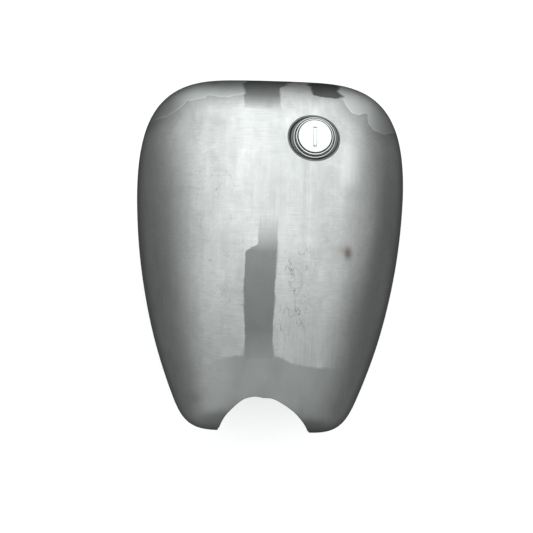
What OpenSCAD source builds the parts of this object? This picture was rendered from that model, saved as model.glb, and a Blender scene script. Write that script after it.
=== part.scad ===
// Wide one-piece motorcycle fuel tank: two welded half shells over a frame tunnel,
// threaded filler with a screw cap, rubber mounts and a lever petcock.
// +X is the rider's right, +Y is forwards, +Z is up.  Millimetres.
// The origin is the middle of the front mounting bolt.

/* [Tank] */
// Overall length, front face to rear lobes
tank_l = 562; // [542:1:580]
// Overall width at the shoulders
tank_w = 425; // [410:1:440]
// Height of the crown above the base plane
tank_h = 194; // [188:1:202]
// Steel sheet thickness
sheet = 1.6; // [1.4:0.1:1.8]
// How far the sides tuck in below the widest line, as a share of the half width
tuck = 0.11; // [0.08:0.01:0.13]
// Roundness of the shoulders, higher is boxier
shoulder = 5; // [4.5:0.1:5.5]

/* [Frame tunnel] */
// Inner half width of the tunnel
tun_r = 32; // [31:0.5:33]
// Height of the centre of the tunnel's arch
tun_z = 62; // [58:1:64]

/* [Mounts] */
// Front mounting bolt, distance forward of mid length
front_y = 222; // [215:1:226]
// Rear mounting bolt, distance behind mid length
rear_y = -186; // [-190:1:-180]
// Mounting bolts, height against the base plane
mount_z = -8; // [-10:1:-7]
// Radius of the bolt bore in the sleeves
bolt_bore_r = 4.25; // [4.1:0.05:4.4]

/* [Filler] */
// Filler centre, to the right of the seam
fill_x = 66; // [64:1:68]
// Filler centre, forward of mid length
fill_y = 184; // [180:1:186]
// Forward tilt of the filler axis
fill_fwd = 13; // [12:0.5:14]
// Sideways tilt of the filler axis
fill_side = 4; // [3:0.5:5]
// Radius of the filler bore
neck_bore_r = 25.05; // [25.05:0.01:25.1]
// Radius of the ring on top of the neck
ring_r = 33; // [32.5:0.1:33.5]

/* [Petcock] */
// Petcock centre, from the seam, negative is left
pet_x = -84; // [-90:1:-80]
// Petcock centre, from mid length
pet_y = -112; // [-120:1:-105]

/* [Crossover] */
// Crossover fittings, distance either side of the seam
cross_x = 72; // [68:1:80]
// Crossover fittings, forward of mid length
cross_y = 168; // [160:1:172]

/* [Hidden] */
$fn = 64;
e = 0.01;
seam_h = 1.5;      // half width of the welded seam strip
arch_o = tun_r + sheet;

// ---- the shape of the skin -------------------------------------------------
// Half outline seen from above, front centre to the inner corner of the rear lobe
OUTLINE = [
    [0, 278.5], [54.5, 278], [104.5, 275], [145, 263], [175, 241], [195.5, 209],
    [207, 169.5], [212, 124], [212, 76], [208.5, 20], [201.5, -35], [191.5, -88.5],
    [178.5, -141], [163.5, -187.5], [148, -228.5], [132.5, -260], [112.5, -277],
    [91, -282.5], [73, -283.5]];
// Where the section that starts at each of those points meets the ridge
RIDGE = [100, 99, 96, 92, 87, 82, 77, 70, 58, 38, 10, -30, -75, -114, -148, -177, -199,
    -213, -222];
// Cut-out at the back, from the seam to the lobe corner, on each side
NOTCH_R = [[1.5, -222], [11.5, -222.5], [21.5, -226.5], [31.5, -232.5], [41, -239],
    [50.5, -247], [59, -257.5], [66.5, -268.5], [73, -283.5]];
NOTCH_L = [[1.5, -222], [12, -220], [21.5, -221.5], [31.5, -225], [40, -231.5],
    [49, -240.5], [57.5, -250.5], [65.5, -263.5], [73, -283.5]];

kx = tank_w / 425;
ky = tank_l / 562;
function last(v) = v[len(v) - 1];
function ext_a(v, sym) = sym ? [-v[1][0], v[1][1]] : 2 * v[0] - v[1];
function pt(v, i, sym) = i < 0 ? ext_a(v, sym)
    : i >= len(v) ? 2 * last(v) - v[len(v) - 2] : v[i];
// moves each control point so that the smooth curve runs through the given one
function sharpen(v, sym) = [for (i = [0 : len(v) - 1])
    v[i] + (v[i] - (pt(v, i - 1, sym) + 4 * v[i] + pt(v, i + 1, sym)) / 6)];
function bsp(v, u, sym) = let (i = min(floor(u), len(v) - 2), t = u - i)
    (pt(v, i - 1, sym) * pow(1 - t, 3)
    + pt(v, i, sym) * (3 * pow(t, 3) - 6 * t * t + 4)
    + pt(v, i + 1, sym) * (-3 * pow(t, 3) + 3 * t * t + 3 * t + 1)
    + pt(v, i + 2, sym) * pow(t, 3)) / 6;
OUT = sharpen([for (p = OUTLINE) [p[0] * kx, p[1] * ky]], true);
RDG = [for (i = [0 : len(RIDGE) - 1]) [0, RIDGE[i] * ky]];
CUT = [sharpen([for (p = NOTCH_R) [p[0] * kx, p[1] * ky]], false),
       sharpen([for (p = NOTCH_L) [p[0] * kx, p[1] * ky]], false)];
NS = len(OUTLINE) - 1;

function rim(s) = let (o = bsp(OUT, s * NS, true)) [seam_h + o[0] * (1 - seam_h / (212 * kx)), o[1]];
function ridge(s) = [seam_h, bsp(RDG, s * NS, true)[1]];
function ease(a) = let (q = min(max(a, 0), 1)) q * q * (3 - 2 * q);
function cut(r, side) = bsp(CUT[side], r * 8, false);
// plan position: r is 0 on the ridge and 1 on the widest line
function plan(s, r, side) = let (g = ridge(s), c0 = cut(0, side), c1 = cut(1, side),
        b = ease((s - 0.76) / 0.24))
    g + (rim(s) - g) * r + b * (cut(r, side) - c0 - (c1 - c0) * r);
function crown(x, y) = tank_h - 0.000807 * pow(y - 60, 2) - 4.65e-7 * pow(y - 60, 3) - 0.00075 * x * x;
function wide_z(s) = 82 + rim(s)[1] / 14;
TW = 0.35;         // share of the section below the widest line
function skin(s, t, side) =
    t < TW
    ? let (v = 1 - t / TW, p = plan(s, 1 - tuck * v * v, side)) [p[0], p[1], wide_z(s) * t / TW]
    : let (q = (t - TW) / (1 - TW), r = 1 - q * q, p = plan(s, r, side), w = wide_z(s))
      [p[0], p[1], w + (crown(p[0], p[1]) - w) * sqrt(max(0, 1 - pow(r, shoulder)))];
function unit(v) = v / norm(v);
function skin_n(s, t, side) = t > 0.993
    ? let (y = ridge(s)[1]) unit([0, (crown(0, y - 1) - crown(0, y + 1)) / 2, 1])
    : let (b = skin(s, t + 0.006, side) - skin(s, max(0, t - 0.006), side),
        a = s < 0.001 ? [1, 0, 0] : skin(min(1, s + 0.004), t, side) - skin(max(0, s - 0.004), t, side))
    unit(cross(b, a));
function inner(s, t, side, d) = let (n = skin_n(s, t, side), p = skin(s, t, side))
    [s < 0.001 || t > 0.999 ? p[0] : p[0] - d * n[0], p[1] - d * n[1], p[2] - d * n[2]];

// closed sheet between an outer and an inner grid of points
module sheet_solid(A, B) {
    n = len(A); m = len(A[0]);
    pts = concat([for (r = A) each r], [for (r = B) each r]);
    function ia(i, j) = i * m + j;
    function ib(i, j) = n * m + i * m + j;
    polyhedron(pts, concat(
        [for (i = [0 : n - 2], j = [0 : m - 2]) each
            [[ia(i, j), ia(i + 1, j), ia(i + 1, j + 1)], [ia(i, j), ia(i + 1, j + 1), ia(i, j + 1)]]],
        [for (i = [0 : n - 2], j = [0 : m - 2]) each
            [[ib(i, j), ib(i + 1, j + 1), ib(i + 1, j)], [ib(i, j), ib(i, j + 1), ib(i + 1, j + 1)]]],
        [for (i = [0 : n - 2]) each
            [[ia(i, 0), ib(i + 1, 0), ia(i + 1, 0)], [ia(i, 0), ib(i, 0), ib(i + 1, 0)]]],
        [for (i = [0 : n - 2]) each
            [[ia(i, m - 1), ia(i + 1, m - 1), ib(i + 1, m - 1)], [ia(i, m - 1), ib(i + 1, m - 1), ib(i, m - 1)]]],
        [for (j = [0 : m - 2]) each
            [[ia(0, j), ia(0, j + 1), ib(0, j + 1)], [ia(0, j), ib(0, j + 1), ib(0, j)]]],
        [for (j = [0 : m - 2]) each
            [[ia(n - 1, j), ib(n - 1, j + 1), ia(n - 1, j + 1)], [ia(n - 1, j), ib(n - 1, j), ib(n - 1, j + 1)]]]),
        convexity = 8);
}
// closed ring of closed sections
module ring_solid(Q) {
    n = len(Q); m = len(Q[0]);
    polyhedron([for (q = Q) each q], [for (i = [0 : n - 1], j = [0 : m - 1]) let (i2 = (i + 1) % n, j2 = (j + 1) % m) each
        [[i * m + j, i2 * m + j2, i * m + j2], [i * m + j, i2 * m + j, i2 * m + j2]]], convexity = 6);
}
SS = [for (i = [0 : 50]) i / 50];
TT = concat([for (j = [0 : 5]) j / 6 * TW], [for (j = [0 : 14]) TW + (1 - TW) * j / 14]);
module half_skin(side) sheet_solid(
    [for (s = SS) [for (t = TT) skin(s, t, side)]],
    [for (s = SS) [for (t = TT) inner(s, t, side, sheet)]]);

// ---- helpers ---------------------------------------------------------------
module place() translate([0, -front_y, -mount_z]) children();
module tube(ro, ri, h) difference() { cylinder(r = ro, h = h); translate([0, 0, -1]) cylinder(r = ri, h = h + 2); }
module along_x(x0) translate([x0, 0, 0]) rotate([0, 90, 0]) children();
module arch2d(r, low) union() { translate([0, tun_z]) circle(r = r); translate([-r, low]) square([2 * r, tun_z - low]); }
module along_y(y0, y1) translate([0, y1, 0]) rotate([90, 0, 0]) linear_extrude(y1 - y0) children();
// region in front of the skin's front face, moved back by d
module front_cut(d) rotate([90, 0, 90]) translate([0, 0, -60]) linear_extrude(120)
    polygon(concat([for (j = [0 : 8]) let (p = skin(0, j / 8 * (TW + 0.08), 0)) [p[1] - d, p[2] - (j == 0 ? 5 : 0)]],
        [[360, 140], [360, -5]]));
// region behind the cut-out, moved forwards by d
function cut_n(r, side) = let (a = cut(min(1, r + 0.02), side) - cut(max(0, r - 0.02), side)) [-a[1], a[0]] / norm(a);
function cut_in(r, side, d) = cut(r, side) + d * cut_n(r, side);
module behind(d, z0, z1) translate([0, 0, z0]) linear_extrude(z1 - z0) polygon(concat(
    [for (k = [16 : -1 : 1]) let (p = cut_in(k / 16, 1, d)) [-p[0], p[1]]],
    [for (k = [1 : 16]) cut_in(k / 16, 0, d)], [[75, -320], [-75, -320]]));

// ---- filler position -------------------------------------------------------
function side_of(s, x, y) = let (g = ridge(s), o = rim(s)) (o[0] - g[0]) * (y - g[1]) - (o[1] - g[1]) * (x - g[0]);
function find_s(x, y, lo, hi, n) = n == 0 ? (lo + hi) / 2
    : let (m = (lo + hi) / 2) side_of(m, x, y) > 0 ? find_s(x, y, lo, m, n - 1) : find_s(x, y, m, hi, n - 1);
function top_z(x, y) = let (s = find_s(x, y, 0, 0.6, 18), g = ridge(s), r = norm([x, y] - g) / norm(rim(s) - g), w = wide_z(s))
    w + (crown(x, y) - w) * sqrt(1 - pow(r, shoulder));
fill_z = top_z(fill_x, fill_y) - 1.6;
FX = [cos(fill_side), 0, -sin(fill_side)];
FY = [-sin(fill_fwd) * sin(fill_side), cos(fill_fwd), -sin(fill_fwd) * cos(fill_side)];
FZ = [cos(fill_fwd) * sin(fill_side), sin(fill_fwd), cos(fill_fwd) * cos(fill_side)];
FC = [fill_x, fill_y, fill_z];
module at_filler() translate(FC) rotate([-fill_fwd, fill_side, 0]) children();
function local(a, r, z) = FC + FX * r * cos(a) + FY * r * sin(a) + FZ * z;
DISH_R = 36.5; DISH_Z = -3.8; DISH_S = 0.6;
function dish_r(z) = DISH_R + DISH_S * (z - DISH_Z);
// height in the filler's own frame at which the dish wall meets the skin
function dish_top(a, z, n) = n == 0 ? z : let (p = local(a, dish_r(z), z)) dish_top(a, z + (top_z(p[0], p[1]) - p[2]) * 0.9, n - 1);

// ---- shell parts -----------------------------------------------------------
module left_shell() color([0.62, 0.63, 0.62]) difference() {
    mirror([1, 0, 0]) half_skin(1);
    along_y(230, 300) arch2d(arch_o + 0.15, -5);
}
module right_shell() color([0.64, 0.65, 0.64]) difference() {
    half_skin(0);
    along_y(230, 300) arch2d(arch_o + 0.15, -5);
    at_filler() translate([0, 0, -7]) cylinder(r1 = dish_r(-7) + 1.9, r2 = dish_r(14) + 1.9, h = 21);
}
module seam_weld() color([0.55, 0.55, 0.54]) {
    T0 = 0.331;
    front = [for (k = [0 : 16]) let (t = T0 + (1 - T0) * k / 16) [skin(0, t, 0), inner(0, t, 0, sheet + 0.6)]];
    ridge_l = [for (k = [1 : 34]) let (s = k / 34) [skin(s, 1, 0), inner(s, 1, 0, sheet + 0.6)]];
    line = concat(front, ridge_l);
    sheet_solid([for (p = line) [for (x = [seam_h - 0.02, 0.02 - seam_h]) [x, p[0][1], p[0][2]]]],
        [for (p = line) [for (x = [seam_h - 0.02, 0.02 - seam_h]) [x, p[1][1], p[1][2]]]]);
}
// closing plate round the cut-out, under the skin's trimmed edge
function plate_cols(side) = let (w = wide_z(1)) concat(
    [for (k = [0 : 12]) let (r = k / 12 * (0.965 - tuck)) [r, 0.3, skin_top(r, side)]],
    [for (k = [1 : 6]) let (v = 1 - k / 6.6, r = 0.965 - tuck * v * v) [r, 0.3 + w * (1 - v), skin_top(r, side)]]);
function skin_top(r, side) = let (t = TW + (1 - TW) * sqrt(1 - r), n = skin_n(1, t, side))
    skin(1, t, side)[2] - sheet / max(n[2], 0.3) - 0.35;
module notch_plate() color([0.58, 0.59, 0.58]) difference() {
    cols = concat([for (c = rev(plate_cols(0))) [c, 0]], [for (c = plate_cols(1)) [c, 1]]);
    sheet_solid(
        [for (c = cols) let (p = cut_in(c[0][0], c[1], 0.05), x = c[1] == 1 ? -p[0] : p[0]) [[x, p[1], c[0][1]], [x, p[1], c[0][2]]]],
        [for (c = cols) let (p = cut_in(c[0][0], c[1], 0.05 + sheet), x = c[1] == 1 ? -p[0] : p[0]) [[x, p[1], c[0][1]], [x, p[1], c[0][2]]]]);
    along_y(-300, -180) arch2d(arch_o + 0.15, -5);
}
function rev(v) = [for (i = [len(v) - 1 : -1 : 0]) v[i]];
module tunnel() color([0.56, 0.57, 0.57]) difference() {
    union() {
        along_y(-262, 300) difference() { arch2d(arch_o, 0.3); arch2d(tun_r, -1); }
        for (x = [-1, 1]) translate([x > 0 ? arch_o - e : -arch_o - 11, -222, 0.3]) cube([11 + e, 468, sheet]);
    }
    front_cut(0.3);
    behind(0.1, -1, 120);
}
module floor_pan(side) {
    z = 2;
    t2 = z / wide_z(0.5) * TW;
    edge = [for (s = [0 : 0.02 : 1.0001]) let (q = min(s, 1), p = inner(q, t2, side, sheet + 0.6)) [p[0], p[1] + (q > 0.95 ? (q - 0.95) * 44 : 0)]];
    back = [for (k = [13 : -1 : 1]) cut_in(k / 15, side, 0.05 + sheet + 0.4)];
    lim = arch_o + 0.3;
    keep_e = [for (p = edge) if (p[0] > lim + 2) p];
    keep_b = [for (p = back) if (p[0] > lim + 2 && p[0] < last(keep_e)[0] - 2) p];
    color([0.6, 0.6, 0.59]) difference() {
        translate([0, 0, z]) linear_extrude(sheet) polygon(concat([[lim, keep_e[0][1]]], keep_e, keep_b, [[lim, last(keep_b)[1] + 3]]));
        translate([cross_x, cross_y, 0]) cylinder(r = 6.1, h = 10);
        if (side == 1) translate([-pet_x, pet_y, 0]) cylinder(r = 10, h = 10);
    }
}
module left_floor_pan() mirror([1, 0, 0]) floor_pan(1);
module right_floor_pan() floor_pan(0);

// ---- mounts ----------------------------------------------------------------
EAR_X = 24.8;      // inner face of each ear's lower part
module ear() difference() {
    intersection() {
        translate([0, 21, 0]) rotate([90, 0, 0]) linear_extrude(42) polygon([[EAR_X, -26], [EAR_X + 3, -26], [EAR_X + 3, 11],
            [tun_r - 0.05, 17], [tun_r - 0.05, 38], [tun_r - 3.05, 38], [tun_r - 3.05, 18], [EAR_X, 12]]);
        translate([EAR_X - 5, 0, 0]) rotate([90, 0, 90]) linear_extrude(20) union() {
            translate([0, mount_z]) circle(r = 17);
            polygon([[-17, mount_z], [17, mount_z], [21, 14], [21, 34], [17, 38], [-17, 38], [-21, 34], [-21, 14]]);
        }
    }
    translate([0, 0, mount_z]) along_x(EAR_X - 1) cylinder(r = 9.5, h = 5);
}
module ears(y) color([0.5, 0.51, 0.52]) translate([0, y, 0]) { ear(); mirror([1, 0, 0]) ear(); }
module front_mount_ears() ears(front_y);
module rear_mount_ears() ears(rear_y);
module grommet() rotate_extrude() difference() {
    union() {
        translate([6.55, 0]) square([2.9, 10.6]);
        translate([6.55, 0]) square([7.2, 3.7]);
        translate([6.55, 6.9]) square([7.2, 3.7]);
    }
    translate([13.75, 0]) rotate(45) square(1.2, center = true);
    translate([13.75, 10.6]) rotate(45) square(1.2, center = true);
}
module grommets(y) color([0.08, 0.08, 0.08]) translate([0, y, mount_z])
    for (m = [0, 1]) mirror([m, 0, 0]) along_x(EAR_X - 3.8) grommet();
module front_grommets() grommets(front_y);
module rear_grommets() grommets(rear_y);
module sleeves(y) color([0.75, 0.75, 0.76]) translate([0, y, mount_z])
    for (m = [0, 1]) mirror([m, 0, 0]) along_x(EAR_X - 5.6) { tube(6.5, bolt_bore_r, 13.4); tube(11.5, bolt_bore_r, 1.6); }
module front_sleeves() sleeves(front_y);
module rear_sleeves() sleeves(rear_y);

// ---- crossover fittings ----------------------------------------------------
module crossover_bungs() color([0.66, 0.66, 0.66]) for (m = [0, 1]) mirror([m, 0, 0]) translate([cross_x, cross_y, 2])
    rotate_extrude() polygon([[4.9, -9], [9, -9], [10, -8], [10, -2.5], [12, -1.5], [12, -0.1], [6, -0.1], [6, 3.4], [4.9, 3.4]]);
module crossover_barbs() color([0.78, 0.62, 0.3]) for (m = [0, 1]) mirror([m, 0, 0]) translate([cross_x, cross_y, 2]) difference() {
    union() {
        translate([0, 0, -9.3]) cylinder(r = 4.85, h = 10.3);
        translate([0, 0, -14.2]) cylinder(r = 8.1, h = 5.1, $fn = 6);
        rotate_extrude() polygon([[0, -40], [3.4, -40], [4.48, -37], [3.8, -36.9], [4.48, -33.6], [3.8, -33.5], [4.5, -30.2], [4.5, -14], [0, -14]]);
    }
    translate([0, 0, -41]) cylinder(r = 2.4, h = 44);
}

// ---- filler and cap --------------------------------------------------------
module filler_recess() color([0.6, 0.61, 0.6]) {
    A = [for (k = [0 : 47]) k * 7.5];
    Q = [for (a = A) let (zt = dish_top(a, 0, 12) - 0.15) [
        local(a, 29.45, DISH_Z), local(a, DISH_R - 0.4, DISH_Z), local(a, DISH_R + 0.3, DISH_Z + 0.8), local(a, dish_r(zt), zt),
        local(a, dish_r(zt) + 1.45, zt - 0.7), local(a, DISH_R + 1.4, DISH_Z - 0.5), local(a, DISH_R + 0.6, DISH_Z - 1.3), local(a, 29.45, DISH_Z - 1.3)]];
    ring_solid(Q);
}
module filler_neck() color([0.7, 0.71, 0.71]) at_filler() rotate_extrude() polygon([
    [neck_bore_r, -20], [29, -20], [29, -5.4], [29.3, -5.4], [29.3, DISH_Z + 0.05], [ring_r, DISH_Z + 0.05], [ring_r, -0.9], [ring_r - 0.9, 0], [neck_bore_r + 0.6, 0], [neck_bore_r, -0.6]]);
module cap_gasket() color([0.1, 0.1, 0.1]) at_filler() tube(28.6, 25.7, 1.0);
module cap_slip_washer() color([0.72, 0.73, 0.75]) at_filler() translate([0, 0, 1.0]) tube(28.9, 25.7, 0.55);
PIN_Y = 12.2; PIN_Z = 4.7;
module slot_cut(w, l, z0, z1) translate([0, 0, z0]) linear_extrude(z1 - z0) union() {
    square([w, l - w], center = true);
    translate([-w / 2, 0]) square([w, l / 2 - 0.2]);
    translate([0, -l / 2 + w / 2]) circle(r = w / 2);
}
module cap_body() color([0.82, 0.83, 0.84]) at_filler() difference() {
    rotate_extrude() polygon([[0, -2.5], [20.5, -2.5], [20.5, -16], [24.2, -16], [24.95, -15.2], [24.95, 1.6],
        [29.2, 1.6], [29.2, 3.4], [28.4, 4.1], [26.9, 4.1], [26.9, 5.2], [0, 5.2]]);
    slot_cut(9, 31.2, 2.2, 7);
    translate([0, 0, -5]) cylinder(r = 1.5, h = 10);
    translate([-9, PIN_Y, PIN_Z]) rotate([0, 90, 0]) cylinder(r = 1.3, h = 18);
    for (a = [30, 150, 270]) rotate(a) translate([18, 0, -3]) { cylinder(r = 1.6, h = 10); cylinder(r = 3.1, h = 2.6); }
}
module cap_disc() color([0.93, 0.93, 0.94]) at_filler() difference() {
    rotate_extrude() polygon([[0, 5.2], [26.2, 5.2], [26.2, 6.1], [25.6, 6.7], [0, 6.9]]);
    slot_cut(9, 31.2, 4, 8);
    translate([-9, PIN_Y, PIN_Z]) rotate([0, 90, 0]) cylinder(r = 1.3, h = 18);
    translate([0, -17.2, 7.2]) sphere(r = 4.2);
}
module cap_disc_screws() color([0.6, 0.6, 0.62]) at_filler() for (a = [30, 150, 270]) rotate(a) translate([18, 0, 0]) {
    difference() { translate([0, 0, -2.9]) cylinder(r = 2.9, h = 2.3); translate([0, 0, -3.5]) cylinder(r = 1.4, h = 1.6, $fn = 6); }
    translate([0, 0, -0.7]) cylinder(r = 1.5, h = 5.8);
}
module cap_handle() color([0.9, 0.9, 0.91]) at_filler() difference() {
    union() {
        translate([-3.7, -11.1, 2.6]) cube([7.4, PIN_Y + 11.1, 4.3]);
        translate([0, -11.1, 2.6]) cylinder(r = 3.7, h = 4.3);
        translate([-3.7, PIN_Y, 4.75]) rotate([0, 90, 0]) cylinder(r = 2.15, h = 7.4);
    }
    translate([-5, PIN_Y, PIN_Z]) rotate([0, 90, 0]) cylinder(r = 1.26, h = 10);
    translate([-2.4, -9.5, 6.3]) cube([4.8, 16, 2]);
}
module cap_handle_pin() color([0.5, 0.5, 0.52]) at_filler() translate([-8.6, PIN_Y, PIN_Z]) rotate([0, 90, 0]) cylinder(r = 1.2, h = 17.2);
module vent_poppet() color([0.15, 0.15, 0.16]) at_filler() rotate_extrude() polygon([[0, -2.55], [5, -2.55], [5, -4.2], [2.2, -4.6], [2.2, -9.5], [0, -9.5]]);
module vent_spring() color([0.7, 0.7, 0.72]) at_filler() {
    turns = 4; steps = 24; wire = 0.32;
    rows = [for (k = [0 : turns * steps]) let (a = k * 360 / steps, z = -11.6 + 6.75 * k / (turns * steps),
            c = [3.6 * cos(a), 3.6 * sin(a), z], u = [cos(a), sin(a), 0])
        [for (j = [0 : 7]) c + wire * (u * cos(j * 45) + [0, 0, 1] * sin(j * 45))]];
    n = len(rows); m = 8;
    polyhedron([for (r = rows) each r], concat(
        [for (i = [0 : n - 2], j = [0 : m - 1]) let (j2 = (j + 1) % m) each
            [[i * m + j, i * m + j2, (i + 1) * m + j2], [i * m + j, (i + 1) * m + j2, (i + 1) * m + j]]],
        [for (j = [1 : m - 2]) [0, j + 1, j]],
        [for (j = [1 : m - 2]) [(n - 1) * m, (n - 1) * m + j, (n - 1) * m + j + 1]]), convexity = 12);
}
module vent_cage() color([0.72, 0.72, 0.74]) at_filler() difference() {
    union() {
        rotate_extrude() polygon([[0, -12.8], [7.8, -12.8], [7.8, -3.4], [14, -3.4], [14, -2.6], [7, -2.6], [7, -12], [0, -12]]);
    }
    for (a = [0 : 60 : 300]) rotate(a) translate([4.6, 0, -14]) cylinder(r = 1.1, h = 3);
    for (a = [0 : 90 : 270]) rotate(a) translate([5, 0, -8]) rotate([0, 90, 0]) cylinder(r = 1.5, h = 5);
}

// ---- petcock ---------------------------------------------------------------
module at_petcock() translate([pet_x, pet_y, 2]) children();
module petcock_bung() color([0.7, 0.7, 0.7]) at_petcock() rotate_extrude() polygon([
    [7.6, -13], [10.4, -13], [11, -12.4], [11, -3.5], [15, -3.5], [16, -2.5], [16, -0.05], [9.9, -0.05], [9.9, 3.2], [7.6, 3.2]]);
module petcock_seal() color([0.1, 0.1, 0.1]) at_petcock() translate([0, 0, -14.2]) tube(10.6, 7.7, 1.15);
module petcock_nut() color([0.83, 0.84, 0.85]) at_petcock() difference() {
    intersection() {
        translate([0, 0, -23.5]) cylinder(r = 17.3, h = 16.5, $fn = 6);
        translate([0, 0, -23.5]) cylinder(r1 = 15.8, r2 = 24, h = 16.5);
        translate([0, 0, -23.5]) cylinder(r1 = 24, r2 = 15.8, h = 16.5);
    }
    translate([0, 0, -17.7]) cylinder(r = 11.08, h = 12);
    translate([0, 0, -25]) cylinder(r = 9.1, h = 10);
}
VZ = -39;          // height of the valve axis below the pan
module petcock_body() color([0.78, 0.79, 0.8]) at_petcock() difference() {
    union() {
        translate([0, 0, -17.6]) cylinder(r = 10.6, h = 3.4);
        translate([0, 0, -28]) cylinder(r = 9, h = 11);
        hull() for (y = [-7, 7], z = [-48, -31]) translate([-9, y, z]) rotate([0, 90, 0]) cylinder(r = 5, h = 18, $fn = 32);
        translate([-15, 0, VZ]) rotate([0, 90, 0]) cylinder(r = 14.2, h = 8);
        for (m = [-1, 1]) translate([-15, m * 13.2, VZ]) rotate([0, 90, 0]) cylinder(r = 4.6, h = 8);
        translate([8, 0, VZ - 4]) rotate([0, 90, 0]) cylinder(r = 7.4, h = 7);
    }
    translate([0, 0, VZ + 4]) cylinder(r = 5.4, h = 30);
    translate([0, 0, -14.9]) cylinder(r = 7.55, h = 2);
    translate([-16, 0, VZ]) rotate([0, 90, 0]) cylinder(r = 10.2, h = 10.5);
    translate([-7, 0, VZ - 4]) rotate([0, 90, 0]) cylinder(r = 2.6, h = 30);
    translate([10, 0, VZ - 4]) rotate([0, 90, 0]) cylinder(r = 3.65, h = 10);
    for (m = [-1, 1]) translate([-16, m * 13.2, VZ]) rotate([0, 90, 0]) cylinder(r = 1.6, h = 8);
}
module strainer() color([0.75, 0.68, 0.45]) at_petcock() difference() {
    union() {
        translate([0, 0, -14.8]) tube(7.5, 5.6, 3);
        translate([0, 0, -12]) tube(6.9, 6.4, 66);
        translate([0, 0, 53.8]) cylinder(r = 6.9, h = 0.8);
    }
    for (k = [0 : 6]) translate([-8, -2.4, 6 + k * 6.6]) cube([16, 4.8, 4.6]);
    for (k = [0 : 6]) translate([-2.4, -8, 6 + k * 6.6]) cube([4.8, 16, 4.6]);
}
module standpipe() color([0.8, 0.64, 0.3]) at_petcock() translate([2.4, 0, -34.95]) tube(2.1, 1.5, 73);
module valve_gasket() color([0.09, 0.09, 0.09]) at_petcock() translate([-7, 0, VZ]) rotate([0, 90, 0]) difference() {
    cylinder(r = 10, h = 1.45);
    for (a = [0, 90, 180, 270]) rotate(a) translate([4, 0, -1]) cylinder(r = 1.9, h = 4);
}
module valve_rotor() color([0.85, 0.85, 0.85]) at_petcock() translate([0, 0, VZ]) difference() {
    union() {
        along_x(-12.6) cylinder(r = 9.9, h = 5.5);
        along_x(-22) cylinder(r = 4, h = 10);
    }
    translate([-9.2, 0, 4]) rotate([0, 90, 0]) cylinder(r = 1.8, h = 4);
    translate([-9.2, 0, -4]) rotate([0, 90, 0]) cylinder(r = 1.8, h = 4);
    translate([-8.8, -1.5, -4]) cube([2, 3, 8]);
}
module wave_washer() color([0.7, 0.7, 0.7]) at_petcock() translate([0, 0, VZ]) ring_solid(
    [for (k = [0 : 47]) let (a = k * 7.5, x = -13.85 + 0.85 * cos(3 * a), u = [0, cos(a), sin(a)])
        [[x - 0.2, 0, 0] + 4.6 * u, [x + 0.2, 0, 0] + 4.6 * u, [x + 0.2, 0, 0] + 8.8 * u, [x - 0.2, 0, 0] + 8.8 * u]]);
module lever_plate() color([0.88, 0.88, 0.89]) at_petcock() translate([0, 0, VZ]) along_x(-16.3) difference() {
    union() {
        cylinder(r = 14.2, h = 1.2);
        for (m = [-1, 1]) translate([0, m * 13.2, 0]) cylinder(r = 4.6, h = 1.2);
    }
    translate([0, 0, -1]) cylinder(r = 4.3, h = 4);
    for (m = [-1, 1]) translate([0, m * 13.2, -1]) cylinder(r = 1.7, h = 4);
}
module lever_plate_screws() color([0.65, 0.65, 0.67]) at_petcock() for (m = [-1, 1]) translate([0, m * 13.2, VZ]) difference() {
    union() {
        along_x(-17) cylinder(r = 1.5, h = 8.2);
        along_x(-18.6) cylinder(r = 2.9, h = 2.2);
    }
    translate([-19.2, -0.4, -3.2]) cube([1.4, 0.8, 6.4]);
}
module petcock_lever() color([0.9, 0.9, 0.91]) at_petcock() translate([0, 0, VZ]) difference() {
    union() {
        along_x(-25) cylinder(r = 8.2, h = 7.6);
        hull() {
            translate([-25, 0, 0]) along_x(0) cylinder(r = 6, h = 4.4, $fn = 32);
            translate([-27, 0, -27]) along_x(0) cylinder(r = 4.6, h = 4, $fn = 32);
        }
        translate([-27.6, 0, -27]) along_x(0) cylinder(r = 5.2, h = 5);
    }
    along_x(-22.01) cylinder(r = 4.02, h = 6);
}
module petcock_spout() color([0.8, 0.64, 0.3]) at_petcock() translate([0, 0, VZ - 4]) along_x(0) difference() {
    rotate_extrude() polygon([[2.2, 10.2], [3.6, 10.2], [3.6, 15.05], [6, 15.05], [6, 16.4], [4.5, 16.5], [4.5, 30], [3.8, 32.8], [4.48, 32.9], [3.8, 35.9], [4.48, 36], [3.4, 39], [2.2, 39]]);
}

place() left_shell();
place() right_shell();
place() seam_weld();
place() notch_plate();
place() tunnel();
place() left_floor_pan();
place() right_floor_pan();
place() front_mount_ears();
place() rear_mount_ears();
place() front_grommets();
place() rear_grommets();
place() front_sleeves();
place() rear_sleeves();
place() crossover_bungs();
place() crossover_barbs();
place() filler_recess();
place() filler_neck();
place() cap_gasket();
place() cap_slip_washer();
place() cap_body();
place() cap_disc();
place() cap_disc_screws();
place() cap_handle();
place() cap_handle_pin();
place() vent_poppet();
place() vent_spring();
place() vent_cage();
place() petcock_bung();
place() petcock_seal();
place() petcock_nut();
place() petcock_body();
place() strainer();
place() standpipe();
place() valve_gasket();
place() valve_rotor();
place() wave_washer();
place() lever_plate();
place() lever_plate_screws();
place() petcock_lever();
place() petcock_spout();
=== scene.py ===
import math
import bpy, bmesh
import numpy as np
from mathutils import Vector, Matrix


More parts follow.
